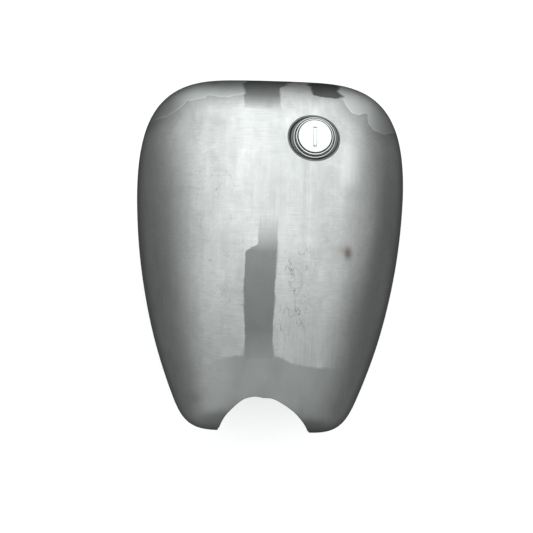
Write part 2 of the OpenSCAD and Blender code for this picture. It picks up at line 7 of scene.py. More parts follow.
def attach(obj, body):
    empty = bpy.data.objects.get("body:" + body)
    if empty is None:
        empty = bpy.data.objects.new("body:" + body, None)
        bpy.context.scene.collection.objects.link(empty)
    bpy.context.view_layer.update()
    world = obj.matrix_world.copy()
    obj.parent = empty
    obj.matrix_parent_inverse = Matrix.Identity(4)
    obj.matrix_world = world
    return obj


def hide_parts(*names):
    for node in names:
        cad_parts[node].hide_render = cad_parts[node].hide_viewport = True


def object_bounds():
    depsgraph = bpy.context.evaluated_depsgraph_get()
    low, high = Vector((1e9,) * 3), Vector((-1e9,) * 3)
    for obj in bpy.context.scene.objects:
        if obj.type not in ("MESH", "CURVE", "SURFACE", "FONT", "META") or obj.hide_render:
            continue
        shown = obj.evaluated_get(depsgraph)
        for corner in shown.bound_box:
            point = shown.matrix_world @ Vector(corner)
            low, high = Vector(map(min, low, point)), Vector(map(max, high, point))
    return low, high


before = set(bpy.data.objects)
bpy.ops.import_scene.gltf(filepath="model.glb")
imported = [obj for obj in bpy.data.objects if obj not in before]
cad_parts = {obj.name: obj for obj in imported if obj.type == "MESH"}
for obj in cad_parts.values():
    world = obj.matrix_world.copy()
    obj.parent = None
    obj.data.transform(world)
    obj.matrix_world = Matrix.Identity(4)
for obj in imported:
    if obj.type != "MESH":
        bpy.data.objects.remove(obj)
cad_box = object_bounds()
scene = bpy.context.scene
K = 0.001
FRONT_Y, MOUNT_Z = 222.0, -8.0

# ---------------------------------------------------------------- tank surface
OUTLINE = [(0, 278.5), (54.5, 278), (104.5, 275), (145, 263), (175, 241), (195.5, 209), (207, 169.5), (212, 124), (212, 76), (208.5, 20), (201.5, -35), (191.5, -88.5), (178.5, -141), (163.5, -187.5), (148, -228.5), (132.5, -260), (112.5, -277), (91, -282.5), (73, -283.5)]
RIDGE = [100, 99, 96, 92, 87, 82, 77, 70, 58, 38, 10, -30, -75, -114, -148, -177, -199, -213, -222]
NOTCH_R = [(1.5, -222), (11.5, -222.5), (21.5, -226.5), (31.5, -232.5), (41, -239), (50.5, -247), (59, -257.5), (66.5, -268.5), (73, -283.5)]
NOTCH_L = [(1.5, -222), (12, -220), (21.5, -221.5), (31.5, -225), (40, -231.5), (49, -240.5), (57.5, -250.5), (65.5, -263.5), (73, -283.5)]
TUCK, SHOULDER, TW, SEAM = 0.11, 5.0, 0.35, 1.5
CROWN, SHEET = 194.0, 1.6
FILL_X, FILL_Y, FWD, SIDE = 66.0, 184.0, math.radians(13), math.radians(4)
FILL_SINK = 1.6


def padded(v, sym):
    a = [-v[1][0], v[1][1]] if sym else list(2 * v[0] - v[1])
    return np.vstack([a, v, 2 * v[-1] - v[-2]])


def sharpened(points, sym):
    v = np.array(points, float)
    p = padded(v, sym)
    return v + (v - (p[:-2] + 4 * v + p[2:]) / 6)


def bspline(p, u, n):
    u = np.asarray(u, float)
    i = np.minimum(np.floor(u).astype(int), n - 2)
    t = (u - i)[..., None]
    return (p[i] * (1 - t) ** 3 + p[i + 1] * (3 * t ** 3 - 6 * t * t + 4)
            + p[i + 2] * (-3 * t ** 3 + 3 * t * t + 3 * t + 1) + p[i + 3] * t ** 3) / 6


N_OUT = len(OUTLINE)
P_OUT = padded(sharpened(OUTLINE, True), True)
P_RDG = padded(np.array([(0, y) for y in RIDGE], float), True)
P_CUT = [padded(sharpened(NOTCH_R, False), False), padded(sharpened(NOTCH_L, False), False)]


def rim(s):
    o = bspline(P_OUT, np.asarray(s) * (N_OUT - 1), N_OUT)
    return np.stack([SEAM + o[..., 0] * (1 - SEAM / 212), o[..., 1]], -1)


def ridge(s):
    o = bspline(P_RDG, np.asarray(s) * (N_OUT - 1), N_OUT)
    return np.stack([np.full(o[..., 1].shape, SEAM), o[..., 1]], -1)


def cut(r, side):
    return bspline(P_CUT[side], np.asarray(r) * 8, 9)


def plan(s, r, side):
    g, o = ridge(s), rim(s)
    q = np.clip((s - 0.76) / 0.24, 0, 1)
    b = (q * q * (3 - 2 * q))[..., None]
    c0, c1 = cut(np.zeros(1), side)[0], cut(np.ones(1), side)[0]
    return g + (o - g) * r[..., None] + b * (cut(r, side) - c0 - (c1 - c0) * r[..., None])


def crown(x, y):
    return CROWN - 0.000807 * (y - 60) ** 2 - 4.65e-7 * (y - 60) ** 3 - 0.00075 * x * x


def wide_z(s):
    return 82 + rim(s)[..., 1] / 14


def skin(s, t, side):
    s, t = np.broadcast_arrays(np.asarray(s, float), np.asarray(t, float))
    low = t < TW
    v = np.clip(1 - t / TW, 0, 1)
    q = np.clip((t - TW) / (1 - TW), 0, 1)
    r = np.where(low, 1 - TUCK * v * v, 1 - q * q)
    p = plan(s, r, side)
    w = wide_z(s)
    top = w + (crown(p[..., 0], p[..., 1]) - w) * np.sqrt(np.clip(1 - r ** SHOULDER, 0, 1))
    return np.stack([p[..., 0], p[..., 1], np.where(low, w * t / TW, top)], -1)


def unit(v):
    return v / np.maximum(np.linalg.norm(v, axis=-1, keepdims=True), 1e-12)


def skin_n(s, t, side):
    s, t = np.broadcast_arrays(np.asarray(s, float), np.asarray(t, float))
    b = skin(s, np.minimum(t + 0.006, 1), side) - skin(s, np.maximum(t - 0.006, 0), side)
    a = skin(np.minimum(s + 0.004, 1), t, side) - skin(np.maximum(s - 0.004, 0), t, side)
    a = np.where((s < 0.001)[..., None], np.array([1.0, 0, 0]), a)
    n = unit(np.cross(b, a))
    y = ridge(s)[..., 1]
    up = unit(np.stack([0 * y, (crown(0, y - 1) - crown(0, y + 1)) / 2, 0 * y + 1], -1))
    return np.where((t > 0.993)[..., None], up, n)


def top_z(x, y):
    x, y = np.broadcast_arrays(np.asarray(x, float), np.asarray(y, float))
    lo, hi = np.zeros(x.shape), np.full(x.shape, 0.6)
    for _ in range(22):
        m = (lo + hi) / 2
        g, o = ridge(m), rim(m)
        f = (o[..., 0] - g[..., 0]) * (y - g[..., 1]) - (o[..., 1] - g[..., 1]) * (x - g[..., 0])
        hi, lo = np.where(f > 0, m, hi), np.where(f > 0, lo, m)
    s = (lo + hi) / 2
    g, o, w = ridge(s), rim(s), wide_z(s)
    r = np.hypot(x - g[..., 0], y - g[..., 1]) / np.hypot(*(o - g).T).T
    return w + (crown(x, y) - w) * np.sqrt(np.clip(1 - r ** SHOULDER, 0, 1))


FC = np.array([FILL_X, FILL_Y, float(top_z(FILL_X, FILL_Y)) - FILL_SINK])
FX = np.array([math.cos(SIDE), 0, -math.sin(SIDE)])
FY = np.array([-math.sin(FWD) * math.sin(SIDE), math.cos(FWD), -math.sin(FWD) * math.cos(SIDE)])
FZ = np.array([math.cos(FWD) * math.sin(SIDE), math.sin(FWD), math.cos(FWD) * math.cos(SIDE)])


def fill(x, y, z):
    x, y, z = np.broadcast_arrays(np.asarray(x, float), np.asarray(y, float), np.asarray(z, float))
    return FC + x[..., None] * FX + y[..., None] * FY + z[..., None] * FZ


def row(p):
    return (np.asarray(p, float) - np.array([0, FRONT_Y, MOUNT_Z])) * K


# ---------------------------------------------------------------- mesh helpers
def mesh_object(name, verts, faces, body="tank", smooth=True, angle=38):
    me = bpy.data.meshes.new(name)
    me.from_pydata([tuple(v) for v in row(verts)], [], [tuple(int(i) for i in f) for f in faces])
    me.validate()
    me.update()
    if smooth:
        me.shade_smooth()
        me.set_sharp_from_angle(angle=math.radians(angle))
    ob = bpy.data.objects.new(name, me)
    scene.collection.objects.link(ob)
    return ob


def grid_faces(n, m, base=0, close_i=False, close_j=False, flip=False):
    out = []
    for i in range(n if close_i else n - 1):
        for j in range(m if close_j else m - 1):
            a, b = base + i * m + j, base + i * m + (j + 1) % m
            c, d = base + ((i + 1) % n) * m + (j + 1) % m, base + ((i + 1) % n) * m + j
            out.append((a, d, c, b) if flip else (a, b, c, d))
    return out


def evaluated(ob, smooth_angle=38):
    bpy.context.view_layer.update()
    dg = bpy.context.evaluated_depsgraph_get()
    me = bpy.data.meshes.new_from_object(ob.evaluated_get(dg))
    old = ob.data
    ob.modifiers.clear()
    ob.data = me
    if old.users == 0:
        bpy.data.meshes.remove(old)
    me.shade_smooth()
    me.set_sharp_from_angle(angle=math.radians(smooth_angle))
    return ob


def carve(ob, cutters, smooth_angle=38, solver="MANIFOLD"):
    for c in cutters:
        m = ob.modifiers.new("carve", "BOOLEAN")
        m.operation = "DIFFERENCE"
        m.object = c
        m.solver = solver
    evaluated(ob, smooth_angle)
    for c in cutters:
        me = c.data
        bpy.data.objects.remove(c)
        bpy.data.meshes.remove(me)
    return ob


def closed_sheet(name, outer, inner, **kw):
    n, m = outer.shape[:2]
    v = np.vstack([outer.reshape(-1, 3), inner.reshape(-1, 3)])
    N = n * m
    f = grid_faces(n, m) + grid_faces(n, m, N, flip=True)
    for i in range(n - 1):
        a, b = i * m, (i + 1) * m
        f.append((a, b, b + N, a + N))
        a, b = i * m + m - 1, (i + 1) * m + m - 1
        f.append((b, a, a + N, b + N))
    for j in range(m - 1):
        a, b = j, j + 1
        f.append((b, a, a + N, b + N))
        a, b = (n - 1) * m + j, (n - 1) * m + j + 1
        f.append((a, b, b + N, a + N))
    return mesh_object(name, v, f, **kw)


def lathe(name, profile, place, n=128, thread=None, **kw):
    """Closed profile of (r, z), turned about the local z axis. thread(theta, r, z) moves r."""
    prof = np.array(profile, float)
    th = np.linspace(0, 2 * math.pi, n, endpoint=False)
    v = []
    for a in th:
        r = prof[:, 0] if thread is None else thread(a, prof[:, 0], prof[:, 1])
        v.append(place(r * math.cos(a), r * math.sin(a), prof[:, 1]))
    v = np.vstack(v)
    f = grid_faces(n, len(prof), close_i=True, close_j=True)
    ob = mesh_object(name, v, f, **kw)
    fix_normals(ob)
    return ob


def fix_normals(ob, angle=38):
    bm = bmesh.new()
    bm.from_mesh(ob.data)
    bmesh.ops.remove_doubles(bm, verts=bm.verts, dist=1e-7)
    bmesh.ops.recalc_face_normals(bm, faces=bm.faces)
    bm.to_mesh(ob.data)
    bm.free()
    ob.data.shade_smooth()
    ob.data.set_sharp_from_angle(angle=math.radians(angle))


def round_profile(pts, radius, closed=True, steps=4):
    """Fillets the corners of a closed (r, z) profile. radius may be a number or one per corner."""
    pts = [np.array(p, float) for p in pts]
    n = len(pts)
    out = []
    for i, p in enumerate(pts):
        rad = radius[i] if isinstance(radius, (list, tuple)) else radius
        a, b = pts[i - 1] - p, pts[(i + 1) % n] - p
        la, lb = np.linalg.norm(a), np.linalg.norm(b)
        d = min(rad, la * 0.45, lb * 0.45)
        if d <= 1e-6 or p[0] < 1e-6:
            out.append(p)
            continue
        s, e = p + a / la * d, p + b / lb * d
        for k in range(steps + 1):
            t = k / steps
            out.append((1 - t) ** 2 * s + 2 * t * (1 - t) * p + t * t * e)
    return out


def prism(name, outline, z0, z1, place):
    n = len(outline)
    o = np.array(outline, float)
    v = np.vstack([place(o[:, 0], o[:, 1], np.full(n, z0)), place(o[:, 0], o[:, 1], np.full(n, z1))])
    f = [tuple(range(n - 1, -1, -1)), tuple(range(n, 2 * n))]
    f += [(i, (i + 1) % n, (i + 1) % n + n, i + n) for i in range(n)]
    ob = mesh_object(name, v, f, smooth=False)
    fix_normals(ob)
    return ob


def sweep(name, path, radius, sides=12, ripple=0.0, pitch=2.2, squash_n=None, **kw):
    """Weld bead or wire along a polyline in tank millimetres."""
    p = np.array(path, float)
    seg = np.linalg.norm(np.diff(p, axis=0), axis=1)
    length = np.concatenate([[0], np.cumsum(seg)])
    step = pitch / 6 if ripple else 1.5
    n = max(4, int(length[-1] / step))
    u = np.linspace(0, length[-1], n)
    c = np.stack([np.interp(u, length, p[:, k]) for k in range(3)], -1)
    t = unit(np.gradient(c, axis=0))
    ref = np.array([0, 0, 1.0]) if abs(t[:, 2]).mean() < 0.8 else np.array([1.0, 0, 0])
    a = unit(np.cross(t, ref))
    b = np.cross(a, t)
    rr = radius * (1 + ripple * (np.abs(np.sin(u / pitch * math.pi)) - 0.6))
    rr[0] *= 0.35
    rr[-1] *= 0.35
    ang = np.linspace(0, 2 * math.pi, sides, endpoint=False)
    v = (c[:, None] + rr[:, None, None] * (np.cos(ang)[None, :, None] * a[:, None] + np.sin(ang)[None, :, None] * b[:, None])).reshape(-1, 3)
    f = grid_faces(n, sides, close_j=True)
    f += [tuple(range(sides)), tuple(range((n - 1) * sides + sides - 1, (n - 1) * sides - 1, -1))]
    ob = mesh_object(name, v, f, **kw)
    fix_normals(ob, 60)
    return ob


# ---------------------------------------------------------------- materials
def new_mat(name):
    m = bpy.data.materials.new(name)
    m.use_nodes = True
    nt = m.node_tree
    nt.nodes.clear()
    out = nt.nodes.new("ShaderNodeOutputMaterial")
    b = nt.nodes.new("ShaderNodeBsdfPrincipled")
    nt.links.new(b.outputs["BSDF"], out.inputs["Surface"])
    return m, nt, b


def node(nt, kind, **kw):
    n = nt.nodes.new(kind)
    for k, v in kw.items():
        setattr(n, k, v)
    return n


def noise(nt, vec, scale, detail=4.0, rough=0.55, distortion=0.0):
    n = node(nt, "ShaderNodeTexNoise")
    n.inputs["Scale"].default_value = scale
    n.inputs["Detail"].default_value = detail
    n.inputs["Roughness"].default_value = rough
    n.inputs["Distortion"].default_value = distortion
    nt.links.new(vec, n.inputs["Vector"])
    return n.outputs["Fac"]


def mapped(nt, vec, scale, rot=(0, 0, 0), loc=(0, 0, 0)):
    n = node(nt, "ShaderNodeMapping")
    n.inputs["Scale"].default_value = scale
    n.inputs["Rotation"].default_value = rot
    n.inputs["Location"].default_value = loc
    nt.links.new(vec, n.inputs["Vector"])
    return n.outputs["Vector"]


def math_node(nt, op, a, b=None, c=None, clamp=False):
    n = node(nt, "ShaderNodeMath", operation=op, use_clamp=clamp)
    for i, v in enumerate((a, b, c)):
        if v is None:
            continue
        if isinstance(v, (int, float)):
            n.inputs[i].default_value = v
        else:
            nt.links.new(v, n.inputs[i])
    return n.outputs[0]


def ramp(nt, fac, lo, hi, a=0.0, b=1.0):
    n = node(nt, "ShaderNodeMapRange")
    n.inputs["From Min"].default_value = lo
    n.inputs["From Max"].default_value = hi
    n.inputs["To Min"].default_value = a
    n.inputs["To Max"].default_value = b
    nt.links.new(fac, n.inputs["Value"])
    return n.outputs["Result"]


def colours(nt, fac, stops):
    n = node(nt, "ShaderNodeValToRGB")
    e = n.color_ramp.elements
    while len(e) > 1:
        e.remove(e[-1])
    e[0].position, e[0].color = stops[0][0], (*stops[0][1], 1)
    for pos, col in stops[1:]:
        k = e.new(pos)
        k.color = (*col, 1)
    nt.links.new(fac, n.inputs["Fac"])
    return n.outputs["Color"]


def mix_colour(nt, fac, a, b, blend="MIX"):
    n = node(nt, "ShaderNodeMix", data_type="RGBA", blend_type=blend)
    for sock, v in ((n.inputs["Factor"], fac), (n.inputs["A"], a), (n.inputs["B"], b)):
        pass
    ins = {s.identifier: s for s in n.inputs}
    for key, v in (("Factor_Float", fac), ("A_Color", a), ("B_Color", b)):
        s = ins[key]
        if isinstance(v, (int, float)):
            s.default_value = v
        elif isinstance(v, tuple):
            s.default_value = (*v, 1)
        else:
            nt.links.new(v, s)
    return [o for o in n.outputs if o.identifier == "Result_Color"][0]


def bump(nt, height, strength, distance, after=None):
    n = node(nt, "ShaderNodeBump")
    n.inputs["Strength"].default_value = strength
    n.inputs["Distance"].default_value = distance
    nt.links.new(height, n.inputs["Height"])
    if after is not None:
        nt.links.new(after, n.inputs["Normal"])
    return n.outputs["Normal"]


def attribute(nt, name):
    return node(nt, "ShaderNodeAttribute", attribute_type="GEOMETRY", attribute_name=name).outputs["Fac"]


def plain(name, lo, hi, metallic, rough, grain=900, stretch=(1, 1, 1), bump_d=0.00002, coat=0.0, bump_s=0.5):
    """A finish with a fine grain: lo and hi are its two colours, rough its two roughnesses."""
    m, nt, b = new_mat(name)
    tc = node(nt, "ShaderNodeTexCoord").outputs["Object"]
    v = mapped(nt, tc, stretch)
    f = noise(nt, v, grain, 5)
    g = noise(nt, tc, 35, 3)
    both = math_node(nt, "MULTIPLY_ADD", f, 0.5, math_node(nt, "MULTIPLY", g, 0.5))
    nt.links.new(colours(nt, both, [(0.35, lo), (0.65, hi)]), b.inputs["Base Color"])
    nt.links.new(ramp(nt, both, 0.35, 0.65, rough[0], rough[1]), b.inputs["Roughness"])
    nt.links.new(bump(nt, f, bump_s, bump_d), b.inputs["Normal"])
    b.inputs["Metallic"].default_value = metallic
    if coat:
        b.inputs["Coat Weight"].default_value = coat
    return m


def brushed_skin(name):
    m, nt, b = new_mat(name)
    tc = node(nt, "ShaderNodeTexCoord").outputs["Object"]
    raw = attribute(nt, "raw")          # signed distance to the unsanded areas, mm
    tone = attribute(nt, "tone")        # how dark (above 0) or light (below 0) those areas are
    band = attribute(nt, "band")        # distance to the two light bands at the front corners
    warm = attribute(nt, "warm")        # heat spot
    marks = attribute(nt, "marks")      # where the fine scratches lie
    ground = attribute(nt, "ground")    # dressed weld
    brushing_and_sheen = attribute(nt, "brushing_and_sheen")        # brighter and darker patches: partly brushing, partly painted highlight and painted shade

    def times(a, c, clamp=False):
        return math_node(nt, "MULTIPLY", a, c, clamp=clamp)

    def plus(a, c):
        return math_node(nt, "ADD", a, c)

    # edge of the sanded area wanders a little
    wander = noise(nt, mapped(nt, tc, (1, 0.35, 1)), 160, 4)
    edge = math_node(nt, "MULTIPLY_ADD", wander, 5.0, raw)
    soft_edge = ramp(nt, noise(nt, tc, 22, 2), 0.4, 0.6, 0.7, 4.0)
    span = node(nt, "ShaderNodeMapRange")
    span.inputs["From Min"].default_value = 2.2
    nt.links.new(plus(plus(soft_edge, 2.2), attribute(nt, "soft")), span.inputs["From Max"])
    span.inputs["To Min"].default_value = 1.0
    span.inputs["To Max"].default_value = 0.0
    nt.links.new(edge, span.inputs["Value"])
    israw = times(span.outputs["Result"], attribute(nt, "fade"))
    # brushing: long streaks fore and aft, shorter cross strokes, broad soft bands on the flanks
    along = plus(times(noise(nt, mapped(nt, tc, (1, 0.03, 0.2)), 900, 6, 0.62), 0.5),
                 times(noise(nt, mapped(nt, tc, (1, 0.022, 0.15)), 260, 4, 0.6), 0.5))
    across = plus(times(noise(nt, mapped(nt, tc, (0.05, 1, 1), rot=(0, 0, 0.07)), 800, 5, 0.6), 0.45),
                  times(noise(nt, mapped(nt, tc, (0.06, 1, 1), rot=(0, 0, -0.03)), 330, 4, 0.6), 0.55))
    bands = noise(nt, mapped(nt, tc, (1, 0.05, 0.9)), 62, 3, 0.5)
    broad = noise(nt, mapped(nt, tc, (1, 0.4, 0.6)), 16, 4, 0.5, 0.4)
    where = ramp(nt, noise(nt, mapped(nt, tc, (1, 0.6, 0.6), loc=(3, 1, 0)), 9, 2), 0.36, 0.54)
    stroke = plus(times(along, math_node(nt, "SUBTRACT", 1.0, where)), times(across, where))
    blot = noise(nt, mapped(nt, tc, (1, 0.7, 0.7)), 45, 5, 0.6, 0.8)
    level = plus(plus(times(stroke, 0.36), times(bands, 0.14)), plus(times(broad, 0.28), times(blot, 0.22)))
    # painted highlight and painted shade: these patches make the brushed colour lighter or darker in places
    level = math_node(nt, "MULTIPLY_ADD", brushing_and_sheen, 0.075, level)
    sanded = colours(nt, level, [(0.36, (0.53, 0.54, 0.533)), (0.44, (0.615, 0.623, 0.617)), (0.5, (0.68, 0.688, 0.682)), (0.56, (0.745, 0.752, 0.747)), (0.66, (0.86, 0.863, 0.86)), (0.76, (0.92, 0.92, 0.92))])
    # the sheet just below the light bands is made darker, fading out within 22 mm
    near = times(times(ramp(nt, band, 0.0, 22.0, 1.0, 0.0), math_node(nt, "SUBTRACT", 1.0, israw)), attribute(nt, "fade"))
    sanded = mix_colour(nt, times(near, 0.5), sanded, (0.30, 0.305, 0.30))
    fine = noise(nt, tc, 1400, 3)
    patch = noise(nt, mapped(nt, tc, (1, 0.5, 0.8)), 30, 4, 0.55, 0.5)
    milled_level = plus(times(fine, 0.3), times(patch, 0.7))
    milled = colours(nt, milled_level, [(0.35, (0.49, 0.502, 0.50)), (0.6, (0.57, 0.582, 0.58))])
    milled = mix_colour(nt, math_node(nt, "MAXIMUM", tone, 0.0), milled, (0.085, 0.088, 0.088))
    milled = mix_colour(nt, math_node(nt, "MAXIMUM", times(tone, -1.0), 0.0), milled, (0.93, 0.94, 0.935))
    col = mix_colour(nt, israw, sanded, milled)
    # a painted highlight: a thin bright line along the bands' lower border
    line = ramp(nt, math_node(nt, "ABSOLUTE", math_node(nt, "SUBTRACT", math_node(nt, "MULTIPLY_ADD", wander, 5.0, band), 3.0)), 0.0, 1.3, 1.0, 0.0)
    line = times(times(line, ramp(nt, tone, 0.0, 0.25, 1.0, 0.0)), attribute(nt, "fade"))
    col = mix_colour(nt, times(line, 0.5), col, (0.95, 0.95, 0.95))
    # fine scratches: thin contour lines of a warped noise, only in places
    lines = noise(nt, mapped(nt, tc, (1, 0.42, 1), rot=(0, 0, 0.35)), 95, 2, 0.5, 2.5)
    thin = ramp(nt, math_node(nt, "ABSOLUTE", math_node(nt, "SUBTRACT", lines, 0.5)), 0.0, 0.02, 1.0, 0.0)
    broken = ramp(nt, noise(nt, tc, 120, 2), 0.52, 0.57)
    hair = noise(nt, mapped(nt, tc, (1, 0.3, 1), rot=(0, 0, -0.12), loc=(2, 3, 0)), 44, 3, 0.45, 1.6)
    hair = ramp(nt, math_node(nt, "ABSOLUTE", math_node(nt, "SUBTRACT", hair, 0.5)), 0.0, 0.013, 1.0, 0.0)
    hair = times(times(hair, ramp(nt, noise(nt, tc, 30, 2), 0.42, 0.50)), attribute(nt, "hairs"))
    scratch = math_node(nt, "MAXIMUM", times(times(thin, broken), marks, True), hair)
    col = mix_colour(nt, times(scratch, 0.85), col, (0.12, 0.12, 0.12))
    # a few pale rubbed marks
    pale = noise(nt, mapped(nt, tc, (1, 0.6, 1), rot=(0, 0, -0.5), loc=(5, 2, 0)), 60, 2, 0.5, 3.0)
    pale_line = times(ramp(nt, math_node(nt, "ABSOLUTE", math_node(nt, "SUBTRACT", pale, 0.5)), 0.0, 0.012, 1.0, 0.0),
                      ramp(nt, noise(nt, mapped(nt, tc, (1, 1, 1), loc=(1, 7, 0)), 40, 2), 0.52, 0.6))
    pale_line = times(pale_line, math_node(nt, "MULTIPLY_ADD", israw, -0.85, 1.0))
    col = mix_colour(nt, times(pale_line, 0.45), col, (0.95, 0.95, 0.95))
    # heat spot and dressed welds
    col = mix_colour(nt, times(warm, 0.8), col, (0.2, 0.145, 0.115))
    spots = ramp(nt, noise(nt, tc, 420, 2), 0.60, 0.72)
    col = mix_colour(nt, times(times(ground, spots), 0.6), col, (0.3, 0.3, 0.3))
    nt.links.new(col, b.inputs["Base Color"])
    rough_s = ramp(nt, level, 0.3, 0.7, 0.44, 0.31)
    rough_r = ramp(nt, milled_level, 0.3, 0.7, 0.34, 0.40)
    rough = plus(times(rough_s, math_node(nt, "SUBTRACT", 1.0, israw)), times(rough_r, israw))
    nt.links.new(rough, b.inputs["Roughness"])
    b.inputs["Metallic"].default_value = 1.0
    h = times(stroke, math_node(nt, "SUBTRACT", 1.0, israw))
    n1 = bump(nt, noise(nt, tc, 9, 2), 0.35, 0.0022)
    n2 = bump(nt, h, 0.18, 0.00012, n1)
    n3 = bump(nt, scratch, -0.3, 0.00015, n2)
    nt.links.new(n3, b.inputs["Normal"])
    return m


def gauze(name):
    m, nt, b = new_mat(name)
    tc = node(nt, "ShaderNodeTexCoord").outputs["Object"]
    w = node(nt, "ShaderNodeTexWave", wave_type="BANDS", bands_direction="DIAGONAL")
    w.inputs["Scale"].default_value = 420
    nt.links.new(tc, w.inputs["Vector"])
    nt.links.new(colours(nt, w.outputs["Fac"], [(0.2, (0.3, 0.25, 0.14)), (0.8, (0.72, 0.62, 0.4))]), b.inputs["Base Color"])
    nt.links.new(bump(nt, w.outputs["Fac"], 0.5, 0.0002), b.inputs["Normal"])
    b.inputs["Metallic"].default_value = 1.0
    b.inputs["Roughness"].default_value = 0.4
    return m


M = {
    "skin": brushed_skin("bare_brushed_steel"),
    "inner_steel": plain("mill_finish_steel", (0.30, 0.305, 0.31), (0.44, 0.445, 0.45), 1.0, (0.36, 0.5), 500, (1, 0.08, 1)),
    # painted shade: the recess round the filler is given a near-black steel colour for the shade that falls in it
    "dish": plain("pressed_dish_painted_shade", (0.13, 0.133, 0.136), (0.24, 0.243, 0.247), 1.0, (0.38, 0.5), 700),
    "mount_steel": plain("blasted_plate_steel", (0.22, 0.222, 0.225), (0.33, 0.333, 0.336), 1.0, (0.5, 0.62), 1500, bump_d=0.00004),
    "weld": plain("weld_metal", (0.26, 0.25, 0.24), (0.5, 0.47, 0.44), 1.0, (0.3, 0.45), 260),
    "zinc": plain("zinc_plated_steel", (0.6, 0.61, 0.63), (0.72, 0.73, 0.75), 1.0, (0.22, 0.32), 800),
    "chrome": plain("polished_chrome", (0.86, 0.865, 0.875), (0.9, 0.905, 0.915), 1.0, (0.045, 0.09), 300, bump_d=0.000004, bump_s=0.15),
    "ring_steel": plain("turned_ring_steel", (0.5, 0.515, 0.51), (0.64, 0.655, 0.65), 1.0, (0.14, 0.22), 900),
    # painted shade: a near-black colour laid in the grooves of the neck ring and cap, where shade falls
    "groove_shade": plain("painted_shade_in_the_grooves", (0.035, 0.036, 0.037), (0.09, 0.09, 0.088), 1.0, (0.4, 0.6), 900),
    "alloy": plain("die_cast_alloy", (0.55, 0.555, 0.56), (0.68, 0.685, 0.69), 1.0, (0.34, 0.46), 1200, bump_d=0.00003),
    "brass": plain("turned_brass", (0.62, 0.44, 0.18), (0.76, 0.57, 0.27), 1.0, (0.2, 0.32), 700),
    "rubber": plain("black_rubber", (0.016, 0.016, 0.016), (0.03, 0.03, 0.03), 0.0, (0.6, 0.75), 1300, bump_d=0.00005),
    "plastic": plain("black_acetal", (0.02, 0.02, 0.021), (0.035, 0.035, 0.036), 0.0, (0.35, 0.45), 900),
    "gauze": gauze("filter_gauze"),
}


def dress(ob, key, body=None, replaces=()):
    ob.data.materials.clear()
    ob.data.materials.append(M[key])
    if body:
        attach(ob, body)
    if replaces:
        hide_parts(*replaces)
    return ob


def darken(ob, key, test):
    """Gives the faces whose centre, in filler coordinates (r, z), passes the test a second finish, here the painted
    shade in grooves.
    """
    ob.data.materials.append(M[key])
    n = len(ob.data.polygons)
    c = np.zeros(n * 3)
    ob.data.polygons.foreach_get("center", c)
    d = c.reshape(-1, 3) * 1000 + [0, FRONT_Y, MOUNT_Z] - FC
    r, z = np.hypot(d @ FX, d @ FY), d @ FZ
    ob.data.polygons.foreach_set("material_index", np.where(test(r, z), 1, 0).astype(np.int32))


# ---------------------------------------------------------------- the skin
SV = np.concatenate([np.linspace(0, 0.985, 150)])
TV = np.concatenate([np.linspace(0, TW, 18)[:-1], TW + (1 - TW) * np.linspace(0, 1, 84)])


def skin_grid(side):
    s, t = SV[:, None], TV[None, :]
    outer = skin(s, t, side)
    p1 = skin(np.ones(1)[:, None], t, side)[0]
    back = skin(np.full(1, 0.97)[:, None], t, side)[0]
    d = unit(p1 - back)
    tan = unit(np.gradient(p1, axis=0))
    r = np.where(TV < TW, 1 - TUCK * np.clip(1 - TV / TW, 0, 1) ** 2, 1 - np.clip((TV - TW) / (1 - TW), 0, 1) ** 2)
    c = cut(np.clip(r + 0.02, 0, 1), side) - cut(np.clip(r - 0.02, 0, 1), side)
    cn = unit(np.stack([-c[:, 1], c[:, 0], 0 * c[:, 0]], -1))
    w = unit(np.cross(tan, cn))
    pm, pd = p1 - 1.5 * d, p1 + 1.5 * w
    roll = [((1 - k) ** 2 * pm + 2 * k * (1 - k) * p1 + k * k * pd) for k in np.linspace(0, 1, 6)]
    outer = np.vstack([outer, np.array(roll)])
    n = skin_n(s, t, side)
    n1 = skin_n(np.ones(1)[:, None], t, side)[0]
    inner = skin(s, t, side) - SHEET * n
    inner[0, :, 0] = SEAM
    inner[:, -1, 0] = SEAM
    last = p1 - SHEET * n1
    last[-1, 0] = SEAM
    inner = np.vstack([inner, np.array([inner[-1] + (last - inner[-1]) * k for k in np.linspace(1 / 6, 1, 6)])])
    # the two halves are joined into one surface in make_skin
    return outer, inner


def make_skin():
    ro, ri = skin_grid(0)
    lo, li = skin_grid(1)
    lo, li = lo * [-1, 1, 1], li * [-1, 1, 1]
    n, m = ro.shape[:2]
    N = n * m
    v = np.vstack([ro.reshape(-1, 3), ri.reshape(-1, 3), lo.reshape(-1, 3), li.reshape(-1, 3)])
    f = []
    # right: outer, inner; left: outer, inner
    f += grid_faces(n, m, 0)
    f += grid_faces(n, m, N, flip=True)
    f += grid_faces(n, m, 2 * N, flip=True)
    f += grid_faces(n, m, 3 * N)
    for i in range(n - 1):                      # bottom rims
        a, b = i * m, (i + 1) * m
        f.append((a, b, b + N, a + N))
        f.append((a + 2 * N, a + 3 * N, b + 3 * N, b + 2 * N))
        a, b = i * m + m - 1, (i + 1) * m + m - 1      # weld strip on the ridge
        f.append((a, b, b + 2 * N, a + 2 * N))
        f.append((a + N, a + 3 * N, b + 3 * N, b + N))
    for j in range(m - 1):                      # weld strip down the front
        a, b = j, j + 1
        f.append((a, b, b + 2 * N, a + 2 * N))
        f.append((a + N, a + 3 * N, b + 3 * N, b + N))
        a, b = (n - 1) * m + j, (n - 1) * m + j + 1     # edge of the cut-out
        f.append((a, b, b + N, a + N))
        f.append((a + 2 * N, a + 3 * N, b + 3 * N, b + 2 * N))
    a = (n - 1) * m + m - 1
    f.append((a, a + N, a + 3 * N, a + 2 * N))
    f.append((0, 2 * N, 3 * N, N))
    ob = mesh_object("tank_skin", v, f)
    fix_normals(ob, 50)
    return ob


